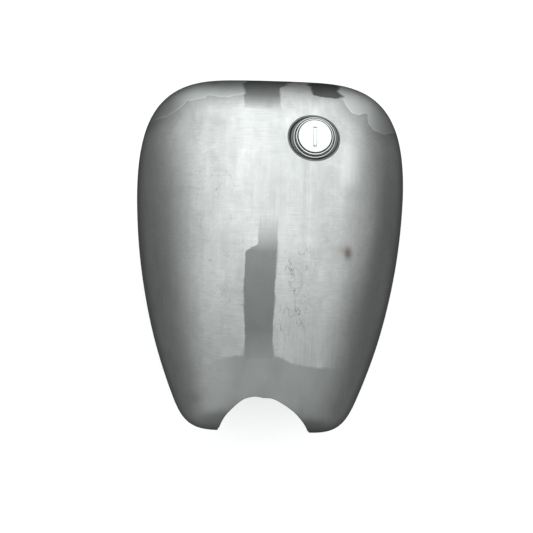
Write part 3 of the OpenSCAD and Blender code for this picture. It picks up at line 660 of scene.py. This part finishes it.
DISH_R, DISH_Z, DISH_S = 34.0, -3.8, 0.34


def dish_foot(a):
    """The pressed recess is a little wider across the tank than along it."""
    return DISH_R + 2.5 * np.cos(a) ** 2 + 0.5 * np.clip(-np.cos(a), 0, 1)


def dish_r(z, a):
    return dish_foot(a) + DISH_S * (z - DISH_Z)


def surface_z(a, r_of):
    """Height, along the filler axis, where the skin crosses the surface r = r_of(z), at angle a."""
    z = np.zeros(np.shape(a))
    for _ in range(25):
        r = r_of(z)
        p = fill(r * np.cos(a), r * np.sin(a), z)
        z = z + (top_z(p[..., 0], p[..., 1]) - p[..., 2]) * 0.9
    return z


skin_ob = make_skin()
cut_th = np.linspace(0, 2 * math.pi, 144, endpoint=False)
hole = np.vstack([fill((dish_r(z, cut_th) + 1.3) * np.cos(cut_th), (dish_r(z, cut_th) + 1.3) * np.sin(cut_th), np.full(144, z))
                  for z in (-12.0, 16.0)])
hole_ob = mesh_object("c1", hole, [tuple(range(143, -1, -1)), tuple(range(144, 288))]
                      + [(i, (i + 1) % 144, (i + 1) % 144 + 144, i + 144) for i in range(144)], smooth=False)
fix_normals(hole_ob)
ang = np.linspace(0, math.pi, 49)
arch = [(-33.72, -6.0)] + [(33.72 * -math.cos(a), 62 + 33.72 * math.sin(a)) for a in ang] + [(33.72, -6.0)]
arch_ob = prism("c2", arch, -300.0, -228.0, lambda x, y, z: np.stack([x, -z, y], -1))
carve(skin_ob, [hole_ob, arch_ob], 50)

# finish areas, in plan, in millimetres: sheet left unsanded
RAW = {
    "strip": (0.55, [(15, 66), (14, 19), (12, -26), (11, -86), (12, -166), (-32, -168), (-34, -107), (-37, -47), (-37, -7),
                     (-36, 6), (-28, 13), (-17, 18), (-17, 38), (-15, 66)]),
    "rear": (0.15, [(-88, -179), (-72, -168), (-48, -163), (-16, -161), (12, -160), (28, -165), (40, -172), (80, -178),
                    (120, -180), (126, -187), (132, -250), (123, -290), (-93, -290), (-130, -262), (-115, -225), (-93, -205)]),
    "front": (0.62, [(-49, 290), (-45, 274), (-45, 256), (-44, 236), (-18, 235), (12, 237), (11, 258), (9, 269), (18, 274), (28, 279), (28, 290)]),
    "left": (-0.2, [(-205, 206), (-193, 210), (-183, 215), (-167, 221), (-156, 229), (-145, 238), (-137, 246), (-126, 248), (-112, 251),
                    (-99, 257), (-87, 254), (-73, 254), (-60, 257), (-46, 260), (-46, 292), (-147, 290), (-215, 228)]),
    "right": (-0.4, [(28, 290), (28, 276), (60, 272), (100, 262), (112, 259), (117, 249), (124, 238), (130, 234), (138, 232), (146, 233), (152, 234),
                     (155, 218), (161, 210), (170, 205), (182, 202), (194, 204), (216, 207), (214, 245), (163, 292)]),
    "blob": (0.88, [(56, 277), (76, 279), (95, 277), (107, 273), (105, 270), (102, 267), (107, 262), (112, 259), (106, 256),
                    (97, 255), (89, 256), (76, 257), (67, 259), (61, 263), (62, 271)]),
}
CAM_C, CAM_H, REF_Z = np.array([-2.2, -16.4]), 2100.0, 90.0


def polygon_distance(p, poly):
    """Signed distance, negative inside."""
    poly = np.array(poly, float)
    d = np.full(len(p), 1e9)
    inside = np.zeros(len(p), bool)
    for i in range(len(poly)):
        a, b = poly[i], poly[(i + 1) % len(poly)]
        e, w = b - a, p - a
        h = np.clip((w @ e) / (e @ e), 0, 1)
        d = np.minimum(d, np.hypot(*(w - h[:, None] * e).T))
        c = ((a[1] > p[:, 1]) != (b[1] > p[:, 1]))
        with np.errstate(divide="ignore", invalid="ignore"):
            x = (b[0] - a[0]) * (p[:, 1] - a[1]) / (b[1] - a[1]) + a[0]
        inside ^= c & (p[:, 0] < x)
    return np.where(inside, -d, d)


def spot(p, x, y, rx, ry):
    return np.exp(-(((p[:, 0] - x) / rx) ** 2 + ((p[:, 1] - y) / ry) ** 2))


def paint_skin(ob):
    me = ob.data
    n = len(me.vertices)
    co = np.zeros(n * 3)
    me.vertices.foreach_get("co", co)
    p3 = co.reshape(-1, 3) * 1000 + [0, FRONT_Y, MOUNT_Z]
    mag = CAM_H / (CAM_H - (p3[:, 2] - REF_Z))
    p = CAM_C + (p3[:, :2] - CAM_C) * mag[:, None]
    raw, tone, band = np.full(n, 60.0), np.zeros(n), np.full(n, 60.0)
    for key, (dark, poly) in RAW.items():
        d = polygon_distance(p, poly)
        if key in ("left", "right"):
            band = np.minimum(band, d)
        if key == "blob":
            blend = np.clip((2.5 - d) / 2.5, 0, 1)
            tone = tone * (1 - blend) + dark * blend
        else:
            dark = dark * (1 - 0.5 * np.clip((-118 - p[:, 1]) / 40, 0, 1)) if key == "strip" else dark
            tone = np.where(d < raw, dark, tone)
        raw = np.minimum(raw, d)
    band = band + 26 * spot(p, 38, 264, 22, 16)
    # the strip fades out forwards, the front patch backwards
    fade = 1 - np.clip((p[:, 1] - 8) / 62, 0, 1) ** 0.8 * (np.abs(p[:, 0]) < 40) * (p[:, 1] < 120)
    low_edge = np.clip((p[:, 1] - 236) / 22, 0, 1)
    fade = np.where((np.abs(p[:, 0] + 18) < 31) & (p[:, 1] > 200), low_edge ** 0.7, fade)
    behind = p[:, 1] < -150
    side = np.clip((-48 - p[:, 0]) / 60, 0, 1) + np.clip((p[:, 0] - 96) / 34, 0, 1)
    fade = np.where(behind, fade * (1 - np.clip(side, 0, 1) ** 0.8), fade)
    # the faces turned downwards, and the inside, are plain
    nor = np.zeros(n * 3)
    me.vertices.foreach_get("normal", nor)
    fade = fade * np.clip(nor.reshape(-1, 3)[:, 2] / 0.14, 0, 1)
    tone = tone + 0.3 * spot(p, -160, 232, 26, 26) + 0.2 * spot(p, -90, 272, 50, 12)
    values = {
        "raw": raw, "soft": np.clip((-140 - p[:, 1]) / 20, 0, 1) * 3.5, "tone": tone, "fade": fade, "band": band,
        # brushing_and_sheen: patches of brushing mixed with painted highlights and painted shade that brighten or
        # darken the flanks
        "brushing_and_sheen": (2.5 * spot(p, 128, 155, 24, 42) + 0.8 * spot(p, -26, 176, 42, 42) + 0.5 * spot(p, -68, 60, 16, 20) + 0.5 * spot(p, 40, 62, 40, 26)
                 - 0.9 * spot(p, 132, 104, 16, 13) - 0.5 * spot(p, -140, 100, 12, 70) - 0.45 * spot(p, -128, 0, 12, 80)
                 + 0.5 * spot(p, 70, 20, 46, 30) - 0.4 * spot(p, -20, 246, 90, 12) + 0.45 * spot(p, 95, -50, 35, 45) + 0.45 * spot(p, -95, -50, 35, 45)
                 - 0.8 * spot(p, -150, 222, 50, 26)),
        "warm": np.clip(1.15 * spot(p, 128, 8, 5, 9) + 0.42 * spot(p, 117, 13, 13, 10) + 0.25 * spot(p, -109, -229, 9, 9), 0, 1),
        "marks": np.clip(0.9 * spot(p, -52, -70, 24, 26) + 0.5 * spot(p, -92, -30, 20, 30) + 0.45 * spot(p, 50, -48, 34, 55) + 0.5 * spot(p, 24, -105, 22, 32)
                         + 0.2 * spot(p, -70, 130, 60, 50) + 0.05, 0, 1),
        "hairs": np.clip(spot(p, 48, -30, 26, 52) + 0.9 * spot(p, 36, -105, 24, 36) + 0.35 * spot(p, -90, 105, 50, 60) + 0.3 * spot(p, -60, 20, 60, 60), 0, 1),
        "ground": np.clip(spot(p, -3, -222, 9, 7) + spot(p, -40, -232, 9, 7) + 0.5 * spot(p, -146, 245, 5, 5), 0, 1),
    }
    for key, val in values.items():
        a = me.attributes.new(key, "FLOAT", "POINT")
        a.data.foreach_set("value", val.astype(np.float32))


paint_skin(skin_ob)
dress(skin_ob, "skin", "tank", ("left_shell", "right_shell", "seam_weld"))


# closing plate round the cut-out
def plate(side):
    cols = []
    rr = np.concatenate([np.linspace(0, 0.965 - TUCK, 60), 0.965 - TUCK * np.linspace(0.93, 0.05, 14) ** 2])
    w = float(wide_z(np.ones(1))[0])
    for k, r in enumerate(rr):
        t = TW + (1 - TW) * math.sqrt(1 - r)
        top = float(skin(np.ones(1), np.array([t]), side)[0, 2]) - 1.15
        low = 0.3 if k < 60 else 0.3 + w * (1 - np.linspace(0.93, 0.05, 14)[k - 60])
        if top < low + 1:
            top = low + 1
        c = cut(np.array([min(1, r + 0.02)]), side)[0] - cut(np.array([max(0, r - 0.02)]), side)[0]
        nrm = np.array([-c[1], c[0]]) / np.hypot(*c)
        q = cut(np.array([r]), side)[0]
        zz = np.linspace(low, top, 24)
        col = [np.stack([np.full(24, (q + nrm * off)[0]), np.full(24, (q + nrm * off)[1]), zz], -1) for off in (0.12, 1.7)]
        cols.append(col)
    cols = np.array(cols)       # columns, face, height, xyz
    return cols


pr, pl = plate(0), plate(1) * [-1, 1, 1]
both = np.vstack([pl[::-1], pr])
plate_ob = closed_sheet("notch_wall", both[:, 0], both[:, 1])
fix_normals(plate_ob, 50)
arch_low = [(-33.72, -6.0)] + [(33.72 * -math.cos(a), 62 + 33.72 * math.sin(a)) for a in ang] + [(33.72, -6.0)]
arch_ob = prism("c3", arch_low, 180.0, 300.0, lambda x, y, z: np.stack([x, -z, y], -1))
carve(plate_ob, [arch_ob], 50)
dress(plate_ob, "inner_steel", "tank", ("notch_plate",))

# ---------------------------------------------------------------- filler
def place_fill(x, y, z):
    return fill(x, y, z)


A = np.linspace(0, 2 * math.pi, 192, endpoint=False)
zt = surface_z(A, lambda z: dish_r(z, A))
lift = np.maximum(zt - DISH_Z, 0.3)
rolls = np.minimum(1.5, 0.6 * lift)
outs = dish_r(zt, A) + rolls
z_out = surface_z(A, lambda z: outs)
z_out2 = surface_z(A, lambda z: outs + 1.6)
secs = []
for i, a in enumerate(A):
    c, s, z, roll, out_r = math.cos(a), math.sin(a), zt[i], rolls[i], outs[i]
    w0, cr, s0 = np.array([dish_r(z - roll, a), z - roll]), np.array([dish_r(z, a), z]), np.array([out_r, z_out[i] + 0.03])
    fil = min(1.2, 0.45 * lift[i])
    foot = np.array([dish_foot(a), DISH_Z])
    up = unit(np.array([DISH_S, 1.0]))
    pts = [np.array([29.42, DISH_Z])]
    pts += [(1 - k) ** 2 * (foot - [fil, 0]) + 2 * k * (1 - k) * foot + k * k * (foot + up * fil) for k in np.linspace(0, 1, 6)]
    pts += [(1 - k) ** 2 * w0 + 2 * k * (1 - k) * cr + k * k * s0 for k in np.linspace(0, 1, 7)]
    pts += [np.array([out_r + 1.6, z_out2[i] + 0.01])]
    pts = np.array(pts)
    if pts[6][1] > pts[7][1]:
        pts[6] = pts[7] * 0.5 + pts[5] * 0.5
    back = pts[::-1].copy()
    back[:, 1] -= 1.3
    back[0] = [out_r + 1.5, z_out2[i] - 0.5]
    ring = np.vstack([pts, back])
    secs.append(fill(ring[:, 0] * c, ring[:, 0] * s, ring[:, 1]))
secs = np.array(secs)
rec = mesh_object("filler_dish", secs.reshape(-1, 3), grid_faces(192, secs.shape[1], close_i=True, close_j=True))
fix_normals(rec, 45)
# the dish's dark colour is painted shade of the recess
dress(rec, "dish", "tank", ("filler_recess",))


def groove(depth, sign, z0, z1, pitch=4.0):
    def f(a, r, z):
        ph = ((z / pitch - a / (2 * math.pi)) % 1.0)
        tri = np.clip(1.6 * (0.5 - np.abs(ph - 0.5)) * 2 - 0.3, 0, 1)
        fade = np.clip((z - z0) / 1.5, 0, 1) * np.clip((z1 - z) / 1.5, 0, 1)
        on = (np.abs(r - 25.05) < 0.25) if sign > 0 else (np.abs(r - 24.95) < 0.25)
        return r + np.where(on, sign * depth * tri * fade, 0)
    return f


zz = list(np.arange(-19.2, -1.2, 0.4))
neck_prof = round_profile([(25.05, -20), (29, -20), (29, -5.4), (29.3, -5.4), (29.3, -3.75), (33, -3.75), (33, 0), (31.1, 0), (31.1, -1.3), (29.4, -1.3), (29.4, 0), (25.05, 0)],
                          [0.3, 0.3, 0.0, 0.0, 0.0, 0.4, 0.9, 0.3, 0.2, 0.2, 0.1, 0.7])
head = [p for p in neck_prof if not (abs(p[0] - 25.05) < 1e-6 and p[1] < -0.8)]
inner_col = [(25.05, z) for z in zz[::-1]]
neck = lathe("filler_neck_ring", [tuple(p) for p in head] + inner_col, place_fill, 192, thread=groove(0.75, 1, -20, -1.5))
dress(neck, "ring_steel", "tank", ("filler_neck",))
# painted shade in the recessed groove between cap flange and ring
darken(neck, "groove_shade", lambda r, z: (r > 29.3) & (r < 31.2) & (z < -0.25) & (z > -1.6))

slot = [(-3.0, 14.65), (-3.0, -11.9)] + [(3.0 * math.cos(a), -11.9 + 3.0 * math.sin(a)) for a in np.linspace(math.pi, 2 * math.pi, 25)[1:-1]] \
    + [(3.0, -11.9), (3.0, 14.65)]
body_prof = [(0.0, -2.5), (20.0, -2.5), (20.5, -3.0), (20.5, -15.5), (20.9, -16), (24.0, -16), (24.95, -15.2)]
body_prof += [(24.95, z) for z in np.arange(-14.8, 1.3, 0.4)] + [(24.95, 1.6)]
body_prof += [tuple(p) for p in round_profile([(24.95, 1.6), (29.2, 1.6), (29.2, 3.7), (28.4, 4.35), (27.3, 4.35), (27.3, 2.7), (25.3, 2.7), (25.3, 5.2), (0, 5.2)],
                                              [0, 0.25, 0.5, 0.6, 0.25, 0.2, 0.2, 0.1, 0])][1:]
cap = lathe("cap_plug", body_prof, place_fill, 192, thread=groove(0.8, -1, -15.5, 1.0), body="cap")
carve(cap, [prism("c4", slot, 2.2, 9.0, place_fill)], 38)
dress(cap, "chrome", "cap", ("cap_body",))
# painted shade in the groove under the cap's rim
darken(cap, "groove_shade", lambda r, z: (r > 24.9) & (r < 27.4) & (z < 4.0) & (z > 2.5))

disc_prof = round_profile([(0.0, 5.2), (25.9, 5.2), (25.9, 6.1), (25.3, 6.75), (18, 6.85), (0.0, 6.9)], [0, 0.15, 0.25, 0.6, 2, 0], steps=5)
disc = lathe("cap_top_disc", [tuple(p) for p in disc_prof], place_fill, 192)
th = np.linspace(0, 2 * math.pi, 32, endpoint=False)
ball = []
for lat in np.linspace(-math.pi / 2 + 0.1, math.pi / 2 - 0.1, 15):
    ball.append(place_fill(3.2 * math.cos(lat) * np.cos(th), -15.6 + 3.2 * math.cos(lat) * np.sin(th), 8.3 + 3.2 * math.sin(lat) + 0 * th))
ball = np.array(ball)
ball_ob = mesh_object("c5", ball.reshape(-1, 3), grid_faces(15, 32, close_j=True) + [tuple(range(32)), tuple(range(14 * 32 + 31, 14 * 32 - 1, -1))], smooth=False)
fix_normals(ball_ob)
carve(disc, [prism("c6", slot, 4.0, 9.0, place_fill), ball_ob], 30)
dress(disc, "chrome", "cap", ("cap_disc",))

# fold-flat handle: rounded bar with a hinge barrel and a pin hole
bar = [(2.75, -11.9)] + [(2.75 * math.cos(a), -11.9 - 2.75 * math.sin(a)) for a in np.linspace(0, math.pi, 17)[1:-1]] + [(-2.75, -11.9), (-2.75, 12.2), (2.75, 12.2)]
bar_ob = prism("cap_flip_handle", bar, 2.6, 6.9, place_fill)
m = bar_ob.modifiers.new("edge", "BEVEL")
m.width = 0.0005
m.segments = 3
m.limit_method = "ANGLE"
m.angle_limit = math.radians(50)
evaluated(bar_ob, 40)
barrel = []
for x in (-2.75, 2.75):
    barrel.append(place_fill(np.full(32, x), 12.2 + 2.15 * np.cos(th), 4.75 + 2.15 * np.sin(th)))
barrel_ob = mesh_object("c7", np.vstack(barrel), [tuple(range(31, -1, -1)), tuple(range(32, 64))] + [(i, (i + 1) % 32, (i + 1) % 32 + 32, i + 32) for i in range(32)], smooth=False)
fix_normals(barrel_ob)
mm = bar_ob.modifiers.new("barrel", "BOOLEAN")
mm.operation, mm.object, mm.solver = "UNION", barrel_ob, "EXACT"
evaluated(bar_ob, 40)
bpy.data.objects.remove(barrel_ob)
pin_hole = []
for x in (-6, 6):
    pin_hole.append(place_fill(np.full(32, float(x)), 12.2 + 1.26 * np.cos(th), 4.7 + 1.26 * np.sin(th)))
pin_ob = mesh_object("c8", np.vstack(pin_hole), [tuple(range(31, -1, -1)), tuple(range(32, 64))] + [(i, (i + 1) % 32, (i + 1) % 32 + 32, i + 32) for i in range(32)], smooth=False)
fix_normals(pin_ob)
carve(bar_ob, [pin_ob], 40, "EXACT")
dress(bar_ob, "chrome", "cap_handle", ("cap_handle",))

# ---------------------------------------------------------------- weld beads
def arch_path(y_of, z_low=3.8, r=34.6):
    pts = [(-r, z) for z in np.linspace(z_low, 62, 12)]
    pts += [(r * -math.cos(a), 62 + r * math.sin(a)) for a in np.linspace(0, math.pi, 40)[1:-1]]
    pts += [(r, z) for z in np.linspace(62, z_low, 12)]
    return [(x, y_of(x, z), z) for x, z in pts]


TF = np.linspace(0, TW + 0.1, 60)
front_pts = skin(np.zeros(1)[:, None], TF[None, :], 0)[0]


def front_y_at(x, z):
    return float(np.interp(z, front_pts[:, 2], front_pts[:, 1])) - 1.1 - abs(x) * 0.004


front_bead = sweep("tunnel_front_weld", arch_path(front_y_at), 1.5, ripple=0.35)
dress(front_bead, "weld", "tank")


def rim_path(side, sgn):
    s = np.linspace(0.135, 0.97, 260)
    t = 3.0 / wide_z(s) * TW
    p = skin(s, t, side) - (SHEET + 0.9) * skin_n(s, t, side)
    p[:, 2] = 1.3
    return p * [sgn, 1, 1]


for nm, side, sgn in (("right_pan_weld", 0, 1), ("left_pan_weld", 1, -1)):
    dress(sweep(nm, rim_path(side, sgn), 1.15, ripple=0.3, sides=10), "weld", "tank")
for nm, y in (("front_ear_welds", 222.0), ("rear_ear_welds", -186.0)):
    verts, faces = [], []
    parts = []
    for sx in (-1, 1):
        for yy in (-21.6, 21.6):
            parts.append(sweep("w", [(sx * 30.6, y + yy, z) for z in np.linspace(20, 37, 8)], 1.3, ripple=0.3, sides=10))
    me_all = bmesh.new()
    for q in parts:
        me_all.from_mesh(q.data)
    me = bpy.data.meshes.new(nm)
    me_all.to_mesh(me)
    me_all.free()
    for q in parts:
        bpy.data.objects.remove(q)
    me.shade_smooth()
    ob = bpy.data.objects.new(nm, me)
    scene.collection.objects.link(ob)
    dress(ob, "weld", "tank")

# ---------------------------------------------------------------- the other CAD nodes
FINISH = {
    "tunnel": "inner_steel", "left_floor_pan": "inner_steel", "right_floor_pan": "inner_steel",
    "front_mount_ears": "mount_steel", "rear_mount_ears": "mount_steel", "front_grommets": "rubber", "rear_grommets": "rubber",
    "front_sleeves": "zinc", "rear_sleeves": "zinc", "crossover_bungs": "mount_steel", "crossover_barbs": "brass",
    "cap_gasket": "rubber", "cap_slip_washer": "zinc", "cap_disc_screws": "zinc", "cap_handle_pin": "zinc",
    "vent_poppet": "plastic", "vent_spring": "zinc", "vent_cage": "zinc", "petcock_bung": "mount_steel", "petcock_seal": "rubber",
    "petcock_nut": "chrome", "petcock_body": "alloy", "strainer": "gauze", "standpipe": "brass", "valve_gasket": "rubber",
    "valve_rotor": "alloy", "wave_washer": "zinc", "lever_plate": "chrome", "lever_plate_screws": "zinc", "petcock_lever": "chrome",
    "petcock_spout": "brass", "left_shell": "skin", "right_shell": "skin", "seam_weld": "skin", "notch_plate": "inner_steel",
    "filler_recess": "dish", "filler_neck": "zinc", "cap_body": "chrome", "cap_disc": "chrome", "cap_handle": "chrome"}
BEVEL = {"front_mount_ears": 0.5, "rear_mount_ears": 0.5, "petcock_body": 0.5, "petcock_nut": 0.35, "petcock_lever": 0.5,
         "lever_plate": 0.2, "front_sleeves": 0.2, "rear_sleeves": 0.2, "crossover_barbs": 0.2, "lever_plate_screws": 0.15}
for name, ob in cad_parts.items():
    ob.data.materials.clear()
    ob.data.materials.append(M[FINISH[name]])
    ob.data.shade_smooth()
    ob.data.set_sharp_from_angle(angle=math.radians(32))
    if name in BEVEL:
        bv = ob.modifiers.new("edge", "BEVEL")
        bv.width = BEVEL[name] * K
        bv.segments = 2
        bv.limit_method = "ANGLE"
        bv.angle_limit = math.radians(45)
        bv.harden_normals = False

# ---------------------------------------------------------------- floor, light, camera
low = min(v[2] for v in (cad_box[0],))
bpy.ops.mesh.primitive_plane_add(size=14, location=(0, -0.2, low - 0.012))
floor = bpy.context.object
floor.name = "floor"
fm, nt, b = new_mat("pale_floor")
tc = node(nt, "ShaderNodeTexCoord").outputs["Object"]
nt.links.new(colours(nt, noise(nt, tc, 3, 3), [(0.4, (0.82, 0.82, 0.82)), (0.6, (0.86, 0.86, 0.86))]), b.inputs["Base Color"])
b.inputs["Roughness"].default_value = 0.75
b.inputs["Emission Color"].default_value = (1, 1, 1, 1)
b.inputs["Emission Strength"].default_value = 0.6
floor.data.materials.append(fm)
floor.visible_glossy = False

world = bpy.data.worlds.new("studio")
scene.world = world
world.use_nodes = True
wn = world.node_tree
wn.nodes.clear()
wo = wn.nodes.new("ShaderNodeOutputWorld")
bg = wn.nodes.new("ShaderNodeBackground")
wtc = wn.nodes.new("ShaderNodeTexCoord")
sep = wn.nodes.new("ShaderNodeSeparateXYZ")
wn.links.new(wtc.outputs["Generated"], sep.inputs["Vector"])


def grey(v):
    return (v * 0.99, v, v * 0.997)


def by(axis, stops, scale=1.0):
    """Brightness along one axis of the studio: stops are (direction component, brightness)."""
    return colours(wn, ramp(wn, axis, -1.0, 1.0), [((p + 1) / 2, grey(v * scale)) for p, v in stops])


# brightest overhead and towards the front, a soft drop to grey flanks, darker below
fore_aft = by(sep.outputs["Y"], [(-1.0, 0.36), (-0.55, 0.48), (-0.43, 0.52), (-0.33, 0.57), (-0.2, 0.65), (-0.07, 0.72), (0.09, 0.83), (0.3, 1.0), (0.75, 1.0), (1.0, 0.95)])
sideways = by(math_node(wn, "ABSOLUTE", sep.outputs["X"]), [(0.0, 1.0), (0.38, 1.0), (0.5, 0.92), (0.62, 0.57), (0.74, 0.31), (0.86, 0.215), (1.0, 0.17)])
tilt = by(sep.outputs["X"], [(-1.0, 1.0), (0.45, 1.0), (0.62, 0.94), (0.78, 0.76), (1.0, 0.6)])
upper = by(sep.outputs["Z"], [(-1.0, 0.0), (-0.3, 0.0), (-0.12, 0.2), (0.0, 0.5), (0.2, 1.0), (1.0, 1.0)])
lower = by(sep.outputs["Z"], [(-1.0, 0.01), (-0.87, 0.02), (-0.6, 0.06), (-0.3, 0.12), (0.0, 0.05), (0.15, 0.0), (1.0, 0.0)])
wr = mix_colour(wn, 1.0, mix_colour(wn, 1.0, fore_aft, mix_colour(wn, 1.0, sideways, tilt, "MULTIPLY"), "MULTIPLY"), upper, "MULTIPLY")
wr = mix_colour(wn, 1.0, wr, lower, "ADD")
wn.links.new(wr, bg.inputs["Color"])
wn.links.new(bg.outputs["Background"], wo.inputs["Surface"])
bg.inputs["Strength"].default_value = 1.22


def area(name, loc, target, size, power):
    li = bpy.data.lights.new(name, "AREA")
    li.shape = "RECTANGLE"
    li.size, li.size_y = size
    li.energy = power
    ob = bpy.data.objects.new(name, li)
    scene.collection.objects.link(ob)
    ob.location = loc
    ob.rotation_euler = (Vector(target) - Vector(loc)).to_track_quat("-Z", "Y").to_euler()
    return ob


area("overhead", (0.05, -0.15, 3.2), (0.0, -0.2, 0.0), (2.2, 2.2), 3)
area("front_fill", (0.2, 2.6, 1.7), (0.0, 0.0, 0.05), (1.6, 0.8), 2)
area("side_fill", (2.4, -0.3, 1.9), (0.0, -0.2, 0.05), (1.2, 1.2), 1.5)

cam = bpy.data.cameras.new("camera")
cam_ob = bpy.data.objects.new("camera", cam)
scene.collection.objects.link(cam_ob)
scene.camera = cam_ob
cx, cy = CAM_C
cam_ob.location = (cx * K, (cy - FRONT_Y) * K, (REF_Z - MOUNT_Z + CAM_H) * K)
cam_ob.rotation_euler = (0, 0, math.radians(1.66))
cam.sensor_width = 36
cam.lens = 18 / (0.4264 / (CAM_H * K))
cam.clip_end = 30
scene.view_settings.view_transform = "Standard"
scene.cycles.use_denoising = True
